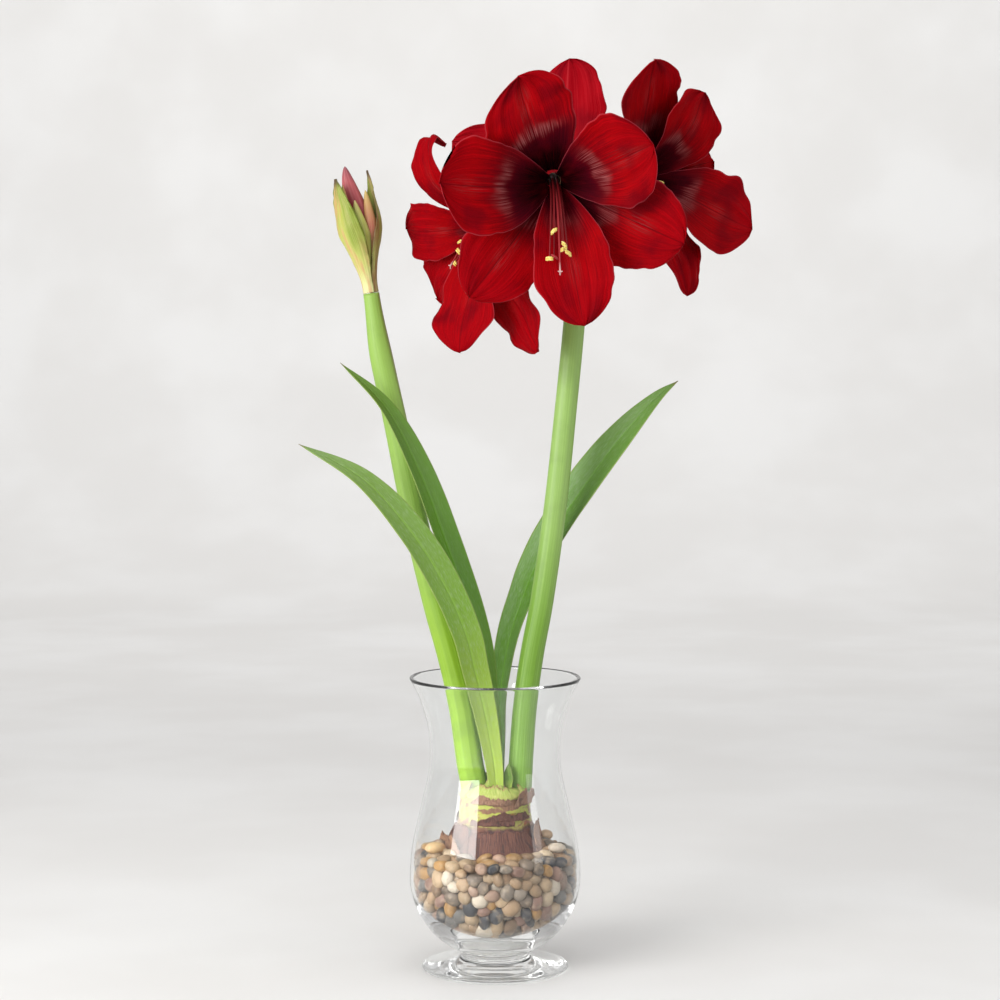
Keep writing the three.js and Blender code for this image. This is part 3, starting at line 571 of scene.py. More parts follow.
def hermite(p0, p1, t0, t1, w):
    return ((2 * w**3 - 3 * w**2 + 1) * p0 + (w**3 - 2 * w**2 + w) * t0 + (-2 * w**3 + 3 * w**2) * p1
            + (w**3 - w**2) * t1)


def evenly(fine, shares):
    """Points of a finely sampled line at shares of its length."""
    steps = np.concatenate([[0], np.cumsum(np.linalg.norm(np.diff(fine, axis=0), axis=1))])
    at = np.asarray(shares) * steps[-1]
    return np.stack([np.interp(at, steps, fine[:, k]) for k in range(fine.shape[1])], -1)


def through(points, centripetal=True, fineness=40):
    """A finely sampled smooth curve through points."""
    p = np.asarray(points, float)
    w = np.linspace(0, 1, fineness, endpoint=False)[:, None]
    fine = []
    for i in range(len(p) - 1):
        p1, p2 = p[i], p[i + 1]
        if centripetal:
            p0 = p[i - 1] if i else 2 * p1 - p2
            p3 = p[i + 2] if i + 2 < len(p) else 2 * p2 - p1
            d0, d1, d2 = (max(np.linalg.norm(b - a), 1e-6) ** 0.5 for a, b in ((p0, p1), (p1, p2), (p2, p3)))
            t1 = ((p1 - p0) / d0 - (p2 - p0) / (d0 + d1) + (p2 - p1) / d1) * d1
            t2 = ((p2 - p1) / d1 - (p3 - p1) / (d1 + d2) + (p3 - p2) / d2) * d1
        else:
            t1 = (p2 - p[max(i - 1, 0)]) / 2
            t2 = (p[min(i + 2, len(p) - 1)] - p1) / 2
        fine.append(hermite(p1, p2, t1, t2, w))
    return np.concatenate(fine + [p[-1:]])


def unit(v):
    v = np.asarray(v, float)
    return v / np.maximum(np.linalg.norm(v, axis=-1, keepdims=True), 1e-9)


def smoothstep(x, low, high):
    t = np.clip((x - low) / (high - low), 0, 1)
    return t * t * (3 - 2 * t)


def lerp(a, b, t):
    return a + (b - a) * t


def hump(x, centre, width):
    """A bell curve, 1 at its centre."""
    return np.exp(-(((x - centre) / width) ** 2))


def rod_rings(line, sizes, sides, wide=(1, 0, 0)):
    """Rings round a line of points; sizes gives the radius, or the two half-widths, at each point."""
    along = unit(np.gradient(line, axis=0))
    wide = np.broadcast_to(np.asarray(wide, float), line.shape)
    across = unit(wide - along * (wide * along).sum(-1, keepdims=True))
    other = np.cross(along, across)
    turn = bearings(sides)[None, :, None]
    sizes = np.asarray(sizes, float).reshape(len(line), 1, -1)
    return (line[:, None] + across[:, None] * sizes[..., :1] * np.cos(turn)
            + other[:, None] * sizes[..., -1:] * np.sin(turn))


# ---------- glass vase ----------

VASE_SIDES = 144
RIM_RADIUS, LIP_HEIGHT, LIP_RADIUS, LIP_RISE = 70.0, 238.8, 1.15, 1.2
WALL, BASE_WALL = 2.3, 8.0
THICK_BELOW, THIN_ABOVE = 13, 60  # heights between which the glass thins from base to wall
OUTSIDE = through([[28, 13.5], [41, 21], [53.5, 32], [62.5, 45.5], [68.3, 61], [70, 76], [67.8, 102],
                   [60.4, 135], [54.3, 163], [53.4, 184], [55.5, 201], [62.4, 224],
                   [RIM_RADIUS, LIP_HEIGHT]], False)
FOOT = [[0, 0], [57.5, 0], [59.2, 0.35], [60, 1.3], [59.4, 2.4], [57.5, 3.15], [52, 3.8], [46, 4.4],
        [40, 5.3]]
STEM = through([[35, 6.4], [30, 8.6], [27.6, 11.2], [28, 13.5]], False)


def inside_of_glass():
    """The inner face, set in from the outer one by the thickness of the glass."""
    tangent = unit(np.gradient(OUTSIDE, axis=0))
    depth = WALL + (BASE_WALL - WALL) * (1 - smoothstep(OUTSIDE[:, 1], THICK_BELOW, THIN_ABOVE))
    return OUTSIDE + np.stack([-tangent[:, 1], tangent[:, 0]], -1) * depth[:, None]


INSIDE = inside_of_glass()
BOWL_FLOOR = INSIDE[0, 1]


def vase_profile():
    wall = np.linspace(0, 1, 110)
    lip = [[RIM_RADIUS - LIP_RADIUS * (1 - math.cos(a)), LIP_HEIGHT + LIP_RISE * math.sin(a)]
           for a in np.linspace(0.2, np.pi - 0.2, 7)]
    return np.concatenate([FOOT, evenly(STEM, np.linspace(0, 1, 24))[:-1], evenly(OUTSIDE, wall), lip,
                           evenly(INSIDE[::-1], wall), [[0, BOWL_FLOOR]]])


add_piece("vase_glass", [turned_part(vase_profile(), VASE_SIDES, "glass")], ["glass_vase"])

# ---------- bulb and its papery tunics ----------

BULB_FOOT, BULB_TOP = 46, 147
NECK_HEIGHT, NECK_LEAN_END = 143, 158
BULB_SIDE = through([[14, BULB_FOOT], [31, 51.5], [42.5, 63], [46, 77], [43.6, 93], [37, 106], [32, 118],
                     [29.6, 131], [29, 144]], False)
SKIN_THICKNESS = 0.45


def bulb_radius(z):
    return np.interp(z, BULB_SIDE[:, 1], BULB_SIDE[:, 0])


def bulb_bumps(rings):
    """Fine ribs all over and ringed layers on the neck, just under the size of the bulb."""
    turn, z = np.arctan2(rings[..., 1], rings[..., 0]), rings[..., 2]
    ribs = ripple(12, 3, 30 * np.cos(turn), 30 * np.sin(turn), 0.12 * z)
    layers = 0.35 * np.sin(z / 2.6 + 2 * waves(rings, 30, 5))
    return 0.5 * ribs + layers * smoothstep(z, 96, 110) - 0.7


bulb_profile = np.concatenate([[[0, BULB_FOOT]], evenly(BULB_SIDE, np.linspace(0, 1, 90)),
                               [[27.5, BULB_TOP - 0.7], [22, BULB_TOP], [0, BULB_TOP]]])
add_piece("bulb_flesh", [turned_part(bulb_profile, 140, "bulb", bulb_bumps)], ["bulb"])


def skin_part(start, end, low, high, off, lift, seed, look, ragged=1.4, steps=(12, 70), lean=0.0):
    """A torn strip of papery skin round the bulb, between two bearings in degrees and two heights.

    off is its distance from the bulb, lift how far its top stands away, and lean how far that leans inwards.
    """
    s, t = np.meshgrid(np.linspace(0, 1, steps[0]), np.linspace(0, 1, steps[1]), indexing="ij")
    around = t * (end - start) * 0.5
    corners = 1 - (2 * t - 1) ** 8
    top = lerp(low, high, 0.35 + 0.65 * corners) + ragged * 1.6 * ripple(14, seed, around, 0, octaves=4)
    bottom = low + 0.6 * ragged * ripple(12, seed + 1, around + 50, 50)
    z = lerp(bottom, np.maximum(top, bottom + 1.2), s)
    slant = 2.5 * ripple(8, seed + 2, 0.5 * z, 0) * (2 * t - 1) ** 6
    bearing = np.radians(lerp(start, end, t) + slant)
    radius = bulb_radius(np.minimum(z, NECK_HEIGHT)) + off + lift * s**2
    radius = radius - lean * smoothstep(z, NECK_HEIGHT, NECK_LEAN_END)
    radius = radius + (0.3 + 0.08 * abs(lift)) * ripple(14, seed + 3, 30 * bearing, 0.4 * z)
    surface = np.stack([radius * np.cos(bearing), radius * np.sin(bearing), z], -1)
    return sheet_part(surface, SKIN_THICKNESS, look, s, (2 * t - 1) * (end - start) / 60)


# Each strip: two bearings, two heights, distance off the bulb, lift, seed, material, raggedness, steps, lean
TUNICS = {
    "left": [
        (168, 228, 99, 113, 1.8, 7.5, 11, "tunic_tan", 1.8),
        (178, 236, 100, 121, 1.0, 0.8, 12, "tunic"),
    ],
    "front": [
        (224, 330, 96, 117.5, 0.9, 0.7, 21, "tunic", 1.6, (14, 110)),
        (230, 300, 122, 128.5, 0.6, 0.8, 22, "tunic", 1.8, (8, 80)),
        (262, 330, 126, 132, 0.9, 0.6, 23, "tunic", 1.8, (8, 80)),
        (228, 296, 139, 145, 0.5, 0.6, 24, "tunic_tan", 1.6, (8, 80)),
    ],
    "right": [
        (326, 374, 100, 123, 1.4, 3.2, 31, "tunic_tan"),
        (304, 352, 137, 149.5, 0.7, 2.6, 32, "tunic_tan", 2.2),
    ],
    "back": [
        (10, 175, 98, 118, 1.1, 1.5, 41, "tunic", 2.0, (12, 150)),
        (20, 170, 120, 129, 0.7, 1.0, 42, "tunic", 1.8, (10, 120)),
        (40, 150, 136, 145, 0.7, 1.0, 43, "tunic_tan", 1.8, (10, 110)),
    ],
}
for tunic, strips in TUNICS.items():
    add_piece(f"tunic_{tunic}_skin", [skin_part(*strip) for strip in strips], [f"tunic_{tunic}"])

NECK_CROWN = [[0, 143], [28.6, 143], [28.4, 145], [26.6, 147.6], [22, 149.6], [12, 150.8], [0, 151]]
NECK_STRIPS = [
    (222, 300, 143, 153, 0.2, -1.0, 44, "collar", 1.6, (12, 90), 9),
    (236, 292, 145, 158.5, -1.2, -2.5, 45, "collar", 1.2, (12, 80), 12),
    (318, 420, 143, 152, 0.1, -1.0, 46, "collar", 1.8, (12, 90), 9),
    (60, 215, 143, 154, 0.2, -1.0, 47, "collar", 1.8, (12, 120), 9),
    (80, 190, 145, 158, -1.6, -2.5, 48, "collar", 1.8, (12, 110), 12),
]
crown = turned_part(NECK_CROWN, 60, "collar", lambda rings: 0.5 * waves(rings, 9, 46))
add_piece("neck_layers", [crown, *(skin_part(*strip) for strip in NECK_STRIPS)])

# ---------- pebbles ----------

PEBBLE_TINTS = [  # colour and how common it is
    ((0.42, 0.27, 0.15), 6), ((0.50, 0.35, 0.21), 5), ((0.56, 0.43, 0.29), 4), ((0.33, 0.20, 0.11), 4),
    ((0.26, 0.21, 0.165), 4), ((0.14, 0.13, 0.12), 3), ((0.045, 0.047, 0.055), 4), ((0.27, 0.15, 0.11), 3),
    ((0.38, 0.24, 0.17), 3), ((0.46, 0.25, 0.08), 2), ((0.62, 0.53, 0.42), 3), ((0.20, 0.15, 0.11), 3),
]
PEBBLE_COUNT, PEBBLE_RADIUS = 1150, (4.3, 6.6)
PACKING_ROUNDS, PACKING_PUSH, PACKING_FALL = 100, 0.28, 0.12
BED_TOP, MOUND_RISE = 96.0, 4.5
BURIED_DEPTH = 13  # a stone this far from the glass and below the top can't be seen


def ball(levels):
    """Points and triangles of a finely divided icosahedron of radius 1."""
    g = (1 + 5**0.5) / 2
    points = [(-1, g, 0), (1, g, 0), (-1, -g, 0), (1, -g, 0), (0, -1, g), (0, 1, g), (0, -1, -g), (0, 1, -g),
              (g, 0, -1), (g, 0, 1), (-g, 0, -1), (-g, 0, 1)]
    faces = [(0, 11, 5), (0, 5, 1), (0, 1, 7), (0, 7, 10), (0, 10, 11), (1, 5, 9), (5, 11, 4),
             (11, 10, 2), (10, 7, 6), (7, 1, 8), (3, 9, 4), (3, 4, 2), (3, 2, 6), (3, 6, 8), (3, 8, 9),
             (4, 9, 5), (2, 4, 11), (6, 2, 10), (8, 6, 7), (9, 8, 1)]
    points = [unit(p) for p in points]
    for _ in range(levels):
        middles, finer = {}, []

        def middle(a, b):
            key = (min(a, b), max(a, b))
            if key not in middles:
                middles[key] = len(points)
                points.append(unit(points[a] + points[b]))
            return middles[key]

        for a, b, c in faces:
            ab, bc, ca = middle(a, b), middle(b, c), middle(c, a)
            finer += [(a, ab, ca), (b, bc, ab), (c, ca, bc), (ab, bc, ca)]
        faces = finer
    return np.array(points), faces


def glass_radius(z):
    return np.interp(z, INSIDE[:, 1], INSIDE[:, 0])


def bed_top(radius):
    return BED_TOP + MOUND_RISE * smoothstep(radius, 62, 44)


def packed_pebbles():
    """Centres and sizes of stones that have been pushed apart between the bulb and the glass."""
    draw = np.random.default_rng(5)
    size = draw.uniform(*PEBBLE_RADIUS, PEBBLE_COUNT)
    z = draw.uniform(BOWL_FLOOR + 4, BED_TOP + 2, PEBBLE_COUNT)
    turn = draw.uniform(-np.pi, np.pi, PEBBLE_COUNT)
    outer = glass_radius(z) - size
    radius = np.sqrt(draw.uniform(np.maximum(outer - 22, 2) ** 2, np.maximum(outer, 3) ** 2))
    at = np.stack([radius * np.cos(turn), radius * np.sin(turn), z], -1)
    for _ in range(PACKING_ROUNDS):
        apart = at[:, None] - at[None]
        distance = np.linalg.norm(apart, axis=-1) + 1e-6
        overlap = np.clip(0.93 * (size[:, None] + size[None]) - distance, 0, None)
        np.fill_diagonal(overlap, 0)
        at += PACKING_PUSH * (apart / distance[..., None] * overlap[..., None]).sum(1)
        at[:, 2] -= PACKING_FALL
        radius = np.hypot(at[:, 0], at[:, 1])
        away = at[:, :2] / radius[:, None]
        at[:, 2] = np.clip(at[:, 2], BOWL_FLOOR + 0.8 * size, bed_top(radius) - 0.4 * size)
        limit = glass_radius(at[:, 2]) - size * 0.86 - 0.4
        near = np.where(at[:, 2] > 44, bulb_radius(at[:, 2]) + size * 0.8, 0)
        radius = np.clip(radius + 0.05, np.minimum(near, limit), limit)
        at[:, :2] = away * radius[:, None]
    return at, size


def pebble_parts():
    """The stones that show, each bent, turned and tinted in its own way, and kept inside the glass."""
    draw = np.random.default_rng(9)
    points, faces = ball(2)
    palette = np.array([tint for tint, _ in PEBBLE_TINTS])
    share = np.array([weight for _, weight in PEBBLE_TINTS], float)
    parts = []
    for centre, r in zip(*packed_pebbles()):
        radius = np.hypot(*centre[:2])
        depth = glass_radius(centre[2]) - radius - r
        out = unit([centre[0], centre[1], 0])
        slope = unit([out[0], out[1], -0.9 * smoothstep(centre[2], 60, 25) + 0.2])
        up = unit([0.25 * draw.normal(), 0.25 * draw.normal(), 1])
        flat = lerp(slope, up, smoothstep(centre[2], BED_TOP - 12, BED_TOP - 4))
        flat = unit(flat + 0.22 * draw.normal(size=3))
        side = unit(np.cross(flat, draw.normal(size=3)))
        sizes = r * np.array([draw.uniform(1.08, 1.34), draw.uniform(0.88, 1.06), draw.uniform(0.66, 0.86)])
        bent = np.sign(points) * np.abs(points) ** draw.uniform(0.86, 1.0)
        dents = waves(points + draw.normal(size=3) * 3, 2.4, int(draw.integers(1e6)), 2)
        bent = bent * (1 + 0.07 * dents)[:, None]
        tint = palette[draw.choice(len(palette), p=share / share.sum())] * draw.uniform(0.55, 0.95)
        if depth > BURIED_DEPTH and centre[2] < bed_top(radius) - 14:
            continue
        shape = centre + bent * sizes @ np.array([side, np.cross(flat, side), flat])
        limit = glass_radius(np.clip(shape[:, 2], BOWL_FLOOR, 200)) - 0.25
        far = np.hypot(shape[:, 0], shape[:, 1])
        shape[:, :2] *= np.minimum(1, limit / np.maximum(far, 1e-6))[:, None]
        shape[:, 2] = np.maximum(shape[:, 2], BOWL_FLOOR + 0.3)
        colour = np.tile([*tint, 1.0], (len(points), 1))
        parts.append((shape, faces, "pebble", {"tint": colour, "seed": draw.uniform(0, 20)}))
    return parts


pebbles = pebble_parts()
third = -(-len(pebbles) // 3)
for k in range(3):
    add_piece(f"pebbles_{k + 1}", pebbles[k * third:(k + 1) * third], ["pebble_bed"])


def loose_pebble(name, bearing, distance, sizes, turn, tint):
    """A stone lying on the bed; bearing and turn are in degrees."""
    points, faces = ball(3)
    a, b = math.radians(bearing), math.radians(turn)
    centre = np.array((distance * math.cos(a), distance * math.sin(a), BED_TOP + 2.2 + sizes[2]))
    axes = np.array([(math.cos(b), math.sin(b), 0), (-math.sin(b), math.cos(b), 0), (0, 0, 1)])
    bent = points * (1 + 0.06 * waves(points * 2, 2.6, turn, 2))[:, None] * 0.98
    values = {"tint": np.tile([*tint, 1.0], (len(points), 1)), "seed": float(turn)}
    add_piece(f"{name}_stone", [(centre + bent * sizes @ axes, faces, "pebble", values)], [name])


loose_pebble("pebble_loose_1", -20, 53, (7.5, 5.5, 4), 15, (0.50, 0.42, 0.34))
loose_pebble("pebble_loose_2", 38, 54, (8, 6, 4.5), 70, (0.46, 0.30, 0.18))
loose_pebble("pebble_loose_3", 205, 53, (9, 6.5, 5), 40, (0.60, 0.40, 0.20))

# ---------- stems ----------

SCAPE_SIDES, SCAPE_STEPS = 56, 130
SCAPE_GRAIN, SCAPE_INSET = 0.22, 0.25


def scape(name, route, wide, deep, seed):
    """A stem along a route; wide and deep give its half-widths along it."""
    s = np.linspace(0, 1, SCAPE_STEPS)
    line = evenly(through(route), s)
    rings = rod_rings(line, np.stack([wide(s), deep(s)], -1) - SCAPE_INSET, SCAPE_SIDES)
    turn = bearings(SCAPE_SIDES)
    grain = SCAPE_GRAIN * ripple(3.0, seed, 6 * np.cos(turn), 6 * np.sin(turn), 4 * s[:, None])
    rings = rings + unit(rings - line[:, None]) * grain[..., None]
    add_piece(f"{name}_skin", [tube_part(rings, name, s)], [name])


scape("scape_flowers", [
    (20, -2, 147.4), (20.1, -2, 152.4), (21.3, -2, 176), (24.4, -2, 217), (30, -2, 258), (37.5, -2, 299),
    (49, -1, 380), (57.5, 0, 460), (62.5, 1, 511), (67.5, 2, 570), (69, 2, 594), (69, 2, 600),
], lambda s: lerp(10.2, 8.9, s) + 0.8 * smoothstep(s, 0.95, 1), lambda s: lerp(8.6, 7.8, s), 51)
scape("scape_bud", [
    (-17.4, 2, 147.4), (-17.6, 2, 152.4), (-20.5, 2, 168), (-27.6, 2, 217), (-37, 2, 258), (-48.4, 2, 299),
    (-67.5, 1, 380), (-80.5, 0, 446), (-93.4, 0, 507), (-100.2, 0, 552),
], lambda s: lerp(11.2, 9.4, s) - 2.6 * smoothstep(s, 0.86, 1),
    lambda s: lerp(8.8, 7.4, s) - 1.5 * smoothstep(s, 0.86, 1), 52)

# ---------- leaves ----------

LEAF_FOOT_SHARE = 0.42
LEAF_THICKNESS, LEAF_EDGE_THINNING = 1.5, 0.9
MIDRIB_WIDTH = 0.07  # share of the half-width of a leaf or tepal


def leaf_outline(s, widest):
    rising = lerp(LEAF_FOOT_SHARE, 1, np.sin(np.pi / 2 * s / widest))
    falling = np.maximum(0.015, 1 - np.maximum((s - widest) / (1 - widest), 0) ** 2.1)
    return np.where(s < widest, rising, falling)


def leaf(name, route, face_foot, face_tip, width, widest, fold, seed):
    """A strap leaf whose upper side turns from face_foot to face_tip; fold is how far its edges rise."""
    s, v = grid(150, 29)
    line = evenly(through(route), s[:, 0])
    along = unit(np.gradient(line, axis=0))
    face = unit(lerp(unit(face_foot), unit(face_tip), s[:, :1]))
    side = unit(np.cross(face, along))
    normal = np.cross(along, side)
    half = width / 2 * leaf_outline(s, widest)
    rise = fold * half * v**2 - 0.5 * hump(v, 0, MIDRIB_WIDTH) * (half > 3)
    rise = rise + 0.03 * half * ripple(1.6, seed, 5 * s, v)
    surface = line[:, None] + side[:, None] * (half * v)[..., None] + normal[:, None] * rise[..., None]
    thickness = (LEAF_THICKNESS - LEAF_EDGE_THINNING * np.abs(v) ** 3) * np.minimum(1, half / 3 + 0.2)
    add_piece(f"{name}_blade", [sheet_part(surface, thickness, name, s, v)], [name])


leaf("leaf_left_long", [
    (1, -17, 148.4), (-1, -17, 170), (-5, -18, 195), (-9.7, -21, 220), (-16.5, -25, 249), (-23, -31, 277),
    (-41, -42, 320), (-67.8, -52, 364), (-105.7, -56, 405), (-155, -54, 432),
], (0.3, -1, 0.1), (0.55, -0.9, 0.8), 28, 0.58, 0.22, 61)
leaf("leaf_left_upright", [
    (-1, 1, 148.4), (-2, -2, 192), (-6.6, -6, 226), (-10.6, -10, 259), (-19, -13, 292), (-41.5, -18, 357),
    (-61.5, -22, 410), (-88.5, -24, 461), (-124, -22, 496),
], (0.9, -0.9, 0.1), (0.7, -0.8, 0.6), 27, 0.6, 0.3, 62)
leaf("leaf_right", [
    (5, 14, 148.4), (5, 15, 190), (5, 18, 222), (13, 22, 271), (21.5, 24, 297), (34, 26, 329), (53, 28, 363),
    (77, 30, 399), (100.5, 30, 430), (134.6, 25, 468.5), (150, 22, 481),
], (-1, -0.5, 0.1), (-0.5, -0.9, 0.5), 35, 0.66, 0.25, 63)
leaf("leaf_shoot", [(11, -13, 148.4), (11, -13, 156), (11, -13.5, 163), (11, -14, 171)],
     (-0.5, -1, 0), (-0.5, -1, 0), 8.5, 0.4, 0.3, 64)

# ---------- flowers ----------

GAP = 0.4  # between a throat and what springs from it
CLAW = {"inner": (20, 10), "outer": (17, 14)}  # along the flower's axis, and out from it
SPRING_RADIUS = {"inner": 6.2, "outer": 8.4}
SHARE_OF_ROOM = {"inner": 1.02, "outer": 1.4}
UMBEL = np.array((69, 2, 600.4))
PEDICEL_CIRCLE = 5.4
PETAL_WAIST, PETAL_FOOT_SHARE = 0.62, 0.17
PETAL_THICKNESS, PETAL_EDGE_THINNING = 0.9, 0.5
OVARY_PLACE, OVARY_SWELL = 0.62, 1.7
THREAD_FOOT_RADIUS, THREAD_TIP_RADIUS = 1.15, 0.55


class Flower:
    """An open flower's throat, the way it looks, and how far its stamens reach. Angles are in degrees."""

    def __init__(self, throat, pedicel, yaw, pitch, reach):
        self.pedicel, self.reach = math.radians(pedicel), reach
        self.throat = np.array(throat, float)
        turn, lift = math.radians(yaw), math.radians(pitch)
        level = math.cos(lift)
        self.axis = np.array((math.sin(turn) * level, -math.cos(turn) * level, math.sin(lift)))
        self.right = unit(np.cross((0, 0, 1), self.axis))
        self.up = np.cross(self.axis, self.right)

    def outward(self, turn):
        return math.cos(turn) * self.right + math.sin(turn) * self.up


def petal_outline(s):
    low = lerp(PETAL_FOOT_SHARE, 1, np.sin(np.pi / 2 * np.minimum(s / PETAL_WAIST, 1)) ** 1.25)
    past = np.maximum((s - PETAL_WAIST) / (1 - PETAL_WAIST), 0)
    return np.where(s < PETAL_WAIST, low, np.maximum(0.0005, 1 - past**2.6) ** 0.66)


def petal_part(flower, name, bearing, rib, width, cup, roll, sway, heart, seed):
    """One tepal. Its midrib runs through rib, given as (along the flower's axis, out from it).

    bearing is the way it points round the axis and roll its twist, in degrees; cup is how far it curves
    across, sway how far its tip drifts sideways, and heart how far the painted shade of its throat is drawn
    in.
    """
    kind = name.split("_")[0]
    s, v = grid(64, 31)
    down = s[:, 0]
    p = evenly(through([(GAP, SPRING_RADIUS[kind]), CLAW[kind], *rib], False, 60), down)
    d = unit(np.gradient(p, axis=0))
    outward = flower.outward(math.radians(bearing))
    around = np.cross(flower.axis, outward)
    at = flower.throat + flower.axis * p[:, :1] + outward * p[:, 1:] + around * (sway * down**2)[:, None]
    inward = flower.axis * d[:, 1:] - outward * d[:, :1]
    turn = np.radians(roll) * s[:, :1]
    side = around * np.cos(turn) + inward * np.sin(turn)
    normal = inward * np.cos(turn) - around * np.sin(turn)

    half = width / 2 * petal_outline(down)
    room = SHARE_OF_ROOM[kind] * p[:, 1] * np.pi / 3
    reach = half * room / np.cbrt(half**3 + room**3)
    bend = lerp(1 / p[:, 1], 2 * cup / width, smoothstep(down, 0.15, 0.75))
    edges = np.stack([ripple(1.0, seed + 3, down * 3.2, edge) for edge in (0, 9)], -1)
    nicks = edges[:, (v[0] > 0).astype(int)]
    reach = reach[:, None] * (1 + 0.07 * nicks * np.abs(v) ** 2 * smoothstep(s, 0.3, 0.6))
    arc = v * reach * bend[:, None]
    surface = at[:, None] + side[:, None] * (np.sin(arc) / bend[:, None])[..., None]
    surface = surface + normal[:, None] * ((1 - np.cos(arc)) / bend[:, None])[..., None]
    facing = normal[:, None] * np.cos(arc)[..., None] - side[:, None] * np.sin(arc)[..., None]

    draw = np.random.default_rng(seed)
    phase, beat = draw.uniform(0, 6, 2), draw.uniform(2.4, 4.4, 2)
    left, right = (np.sin(2 * np.pi * beat[k] * s + phase[k]) for k in (0, 1))
    flounce = np.where(v < 0, left, right)
    ruffle = (2.3 * flounce + 0.9 * nicks) * np.abs(v) ** 3.5
    crease = -0.9 * hump(v, 0, MIDRIB_WIDTH) * (1 - s**6)
    folds = ripple(1.3, seed + 7, s, v * 3.0)
    tip_curl = draw.uniform(-3.5, 2.5) * smoothstep(s, 0.82, 1.0) ** 1.5
    dents = 0.9 * ripple(2.0, seed, s * 3, v * 1.4)
    lift = smoothstep(s, 0.3, 0.8) * (ruffle + folds + dents) + crease + tip_curl
    surface = surface + facing * lift[..., None]
    thickness = (PETAL_THICKNESS - PETAL_EDGE_THINNING * np.abs(v) ** 3) * np.minimum(1, reach / 4 + 0.3)
    part = sheet_part(surface, thickness, "petal", s, v)
    towards = np.einsum("ijk,ijk->ij", grid_normals(surface), facing).mean()
    part[3]["face"] = part[3]["face"] * np.sign(towards)
    part[3]["heart"] = heart
    return part


def flower_tube(flower):
    """Pedicel, three-lobed ovary and perianth tube, from the umbel to the throat."""
    start = UMBEL + PEDICEL_CIRCLE * np.array((math.cos(flower.pedicel), math.sin(flower.pedicel), 0))
    span = 0.4 * np.linalg.norm(flower.throat - start)
    a, b = start + (0, 0, span), flower.throat - flower.axis * span
    t = np.linspace(0, 1, 200)[:, None]
    fine = (1 - t) ** 3 * start + 3 * (1 - t) ** 2 * t * a + 3 * (1 - t) * t**2 * b + t**3 * flower.throat
    s, sides = np.linspace(0, 1, 70), 42
    line = evenly(fine, s)
    size = lerp(3.3, 4.6, s) + OVARY_SWELL * hump(s, OVARY_PLACE, 0.15) + smoothstep(s, 0.86, 1)
    rings = rod_rings(line, size, sides, unit(np.cross(line[-1] - line[0], (0.3, 0.9, 0.2))))
    lobes = 0.35 * np.cos(3 * bearings(sides)) * hump(s, OVARY_PLACE, 0.16)[:, None]
    rings = rings + unit(rings - line[:, None]) * lobes[..., None]
    return tube_part(rings, "tube", s)


def thread_line(flower, turn, radius, reach, droop, base=0.0):
    """The line of a filament or style that starts at base, droops and opens outwards."""
    t = np.array([0, 0.34, 0.7, 1])[:, None]
    out = radius * (1 + (reach / 50) * t**2)
    along = base + GAP + (reach - base) * t
    points = flower.throat + flower.axis * along + flower.outward(turn) * out - flower.up * droop * t**2.4
    return evenly(through(points), np.linspace(0, 1, 40))


def thread_part(flower, line, tip_radius, look):
    radius = lerp(THREAD_FOOT_RADIUS, tip_radius, np.linspace(0, 1, len(line)))
    return tube_part(rod_rings(line, radius, 12, flower.right), look)


def anther_parts(tip, way, up, ripe, seed):
    """A swinging anther: two pollen sacs side by side, or a smooth unopened one."""
    draw = np.random.default_rng(seed)
    closed, opened = (7.4, 1.1, (0.0,), "anther"), (6.2, 1.0, (-0.75, 0.75), "pollen")
    length, radius, shifts, look = opened if ripe else closed
    s = np.linspace(0, 1, 16)
    over = unit(np.cross(way, up) * 0.8 + up * draw.uniform(-0.6, 0.6) + way * draw.uniform(-0.4, 0.4))
    hang = unit(np.cross(over, way))
    parts = []
    for shift in shifts:
        bend = 1.1 * (1 - (2 * s - 1) ** 2)
        line = tip + over * ((s - 0.5) * length)[:, None] + hang * bend[:, None] + way * shift
        rings = rod_rings(line, radius * np.sqrt(np.maximum(0.06, 1 - (2 * s - 1) ** 4)), 14, way)
        if ripe:
            rings = rings + unit(rings - line[:, None]) * (0.22 * waves(rings, 2.2, seed + 1))[..., None]
        parts.append(tube_part(rings, look, s))
    return parts


def stamen_parts(flower, seed):
    """Six filaments of differing length with their anthers, one of them still closed."""
    parts = []
    for k in range(6):
        reach = flower.reach + 4 * math.sin(2.4 * k)
        line = thread_line(flower, 2 * np.pi * k / 6, 3, reach, reach**2 / 105 + 3 * math.cos(1.9 * k))
        parts.append(thread_part(flower, line, THREAD_TIP_RADIUS, "filament"))
        parts += anther_parts(line[-1], unit(line[-1] - line[-3]), flower.up, k != 4, seed + k)
    return parts


def style_parts(flower):
    """The style, longer than the stamens, with its stigma of three small lobes."""
    reach = 1.25 * flower.reach
    line = thread_line(flower, -np.pi / 2, 0.1, reach, reach**2 / 127, 2.0)
    parts = [thread_part(flower, line, THREAD_TIP_RADIUS + 0.1, "stigma")]
    tip, way = line[-1], unit(line[-1] - line[-3])
    for k in range(3):
        out = unit(flower.outward(2 * np.pi * k / 3 + 0.5))
        lobe = through([tip - way * 0.4, tip + way * 1.2 + out * 0.7, tip + way * 1.6 + out * 2.0], True, 8)
        radius = lerp(0.62, 0.42, np.linspace(0, 1, len(lobe)))
        parts.append(tube_part(rod_rings(lobe, radius, 10, way + out * 0.3), "stigma", np.ones(len(lobe))))
    return parts


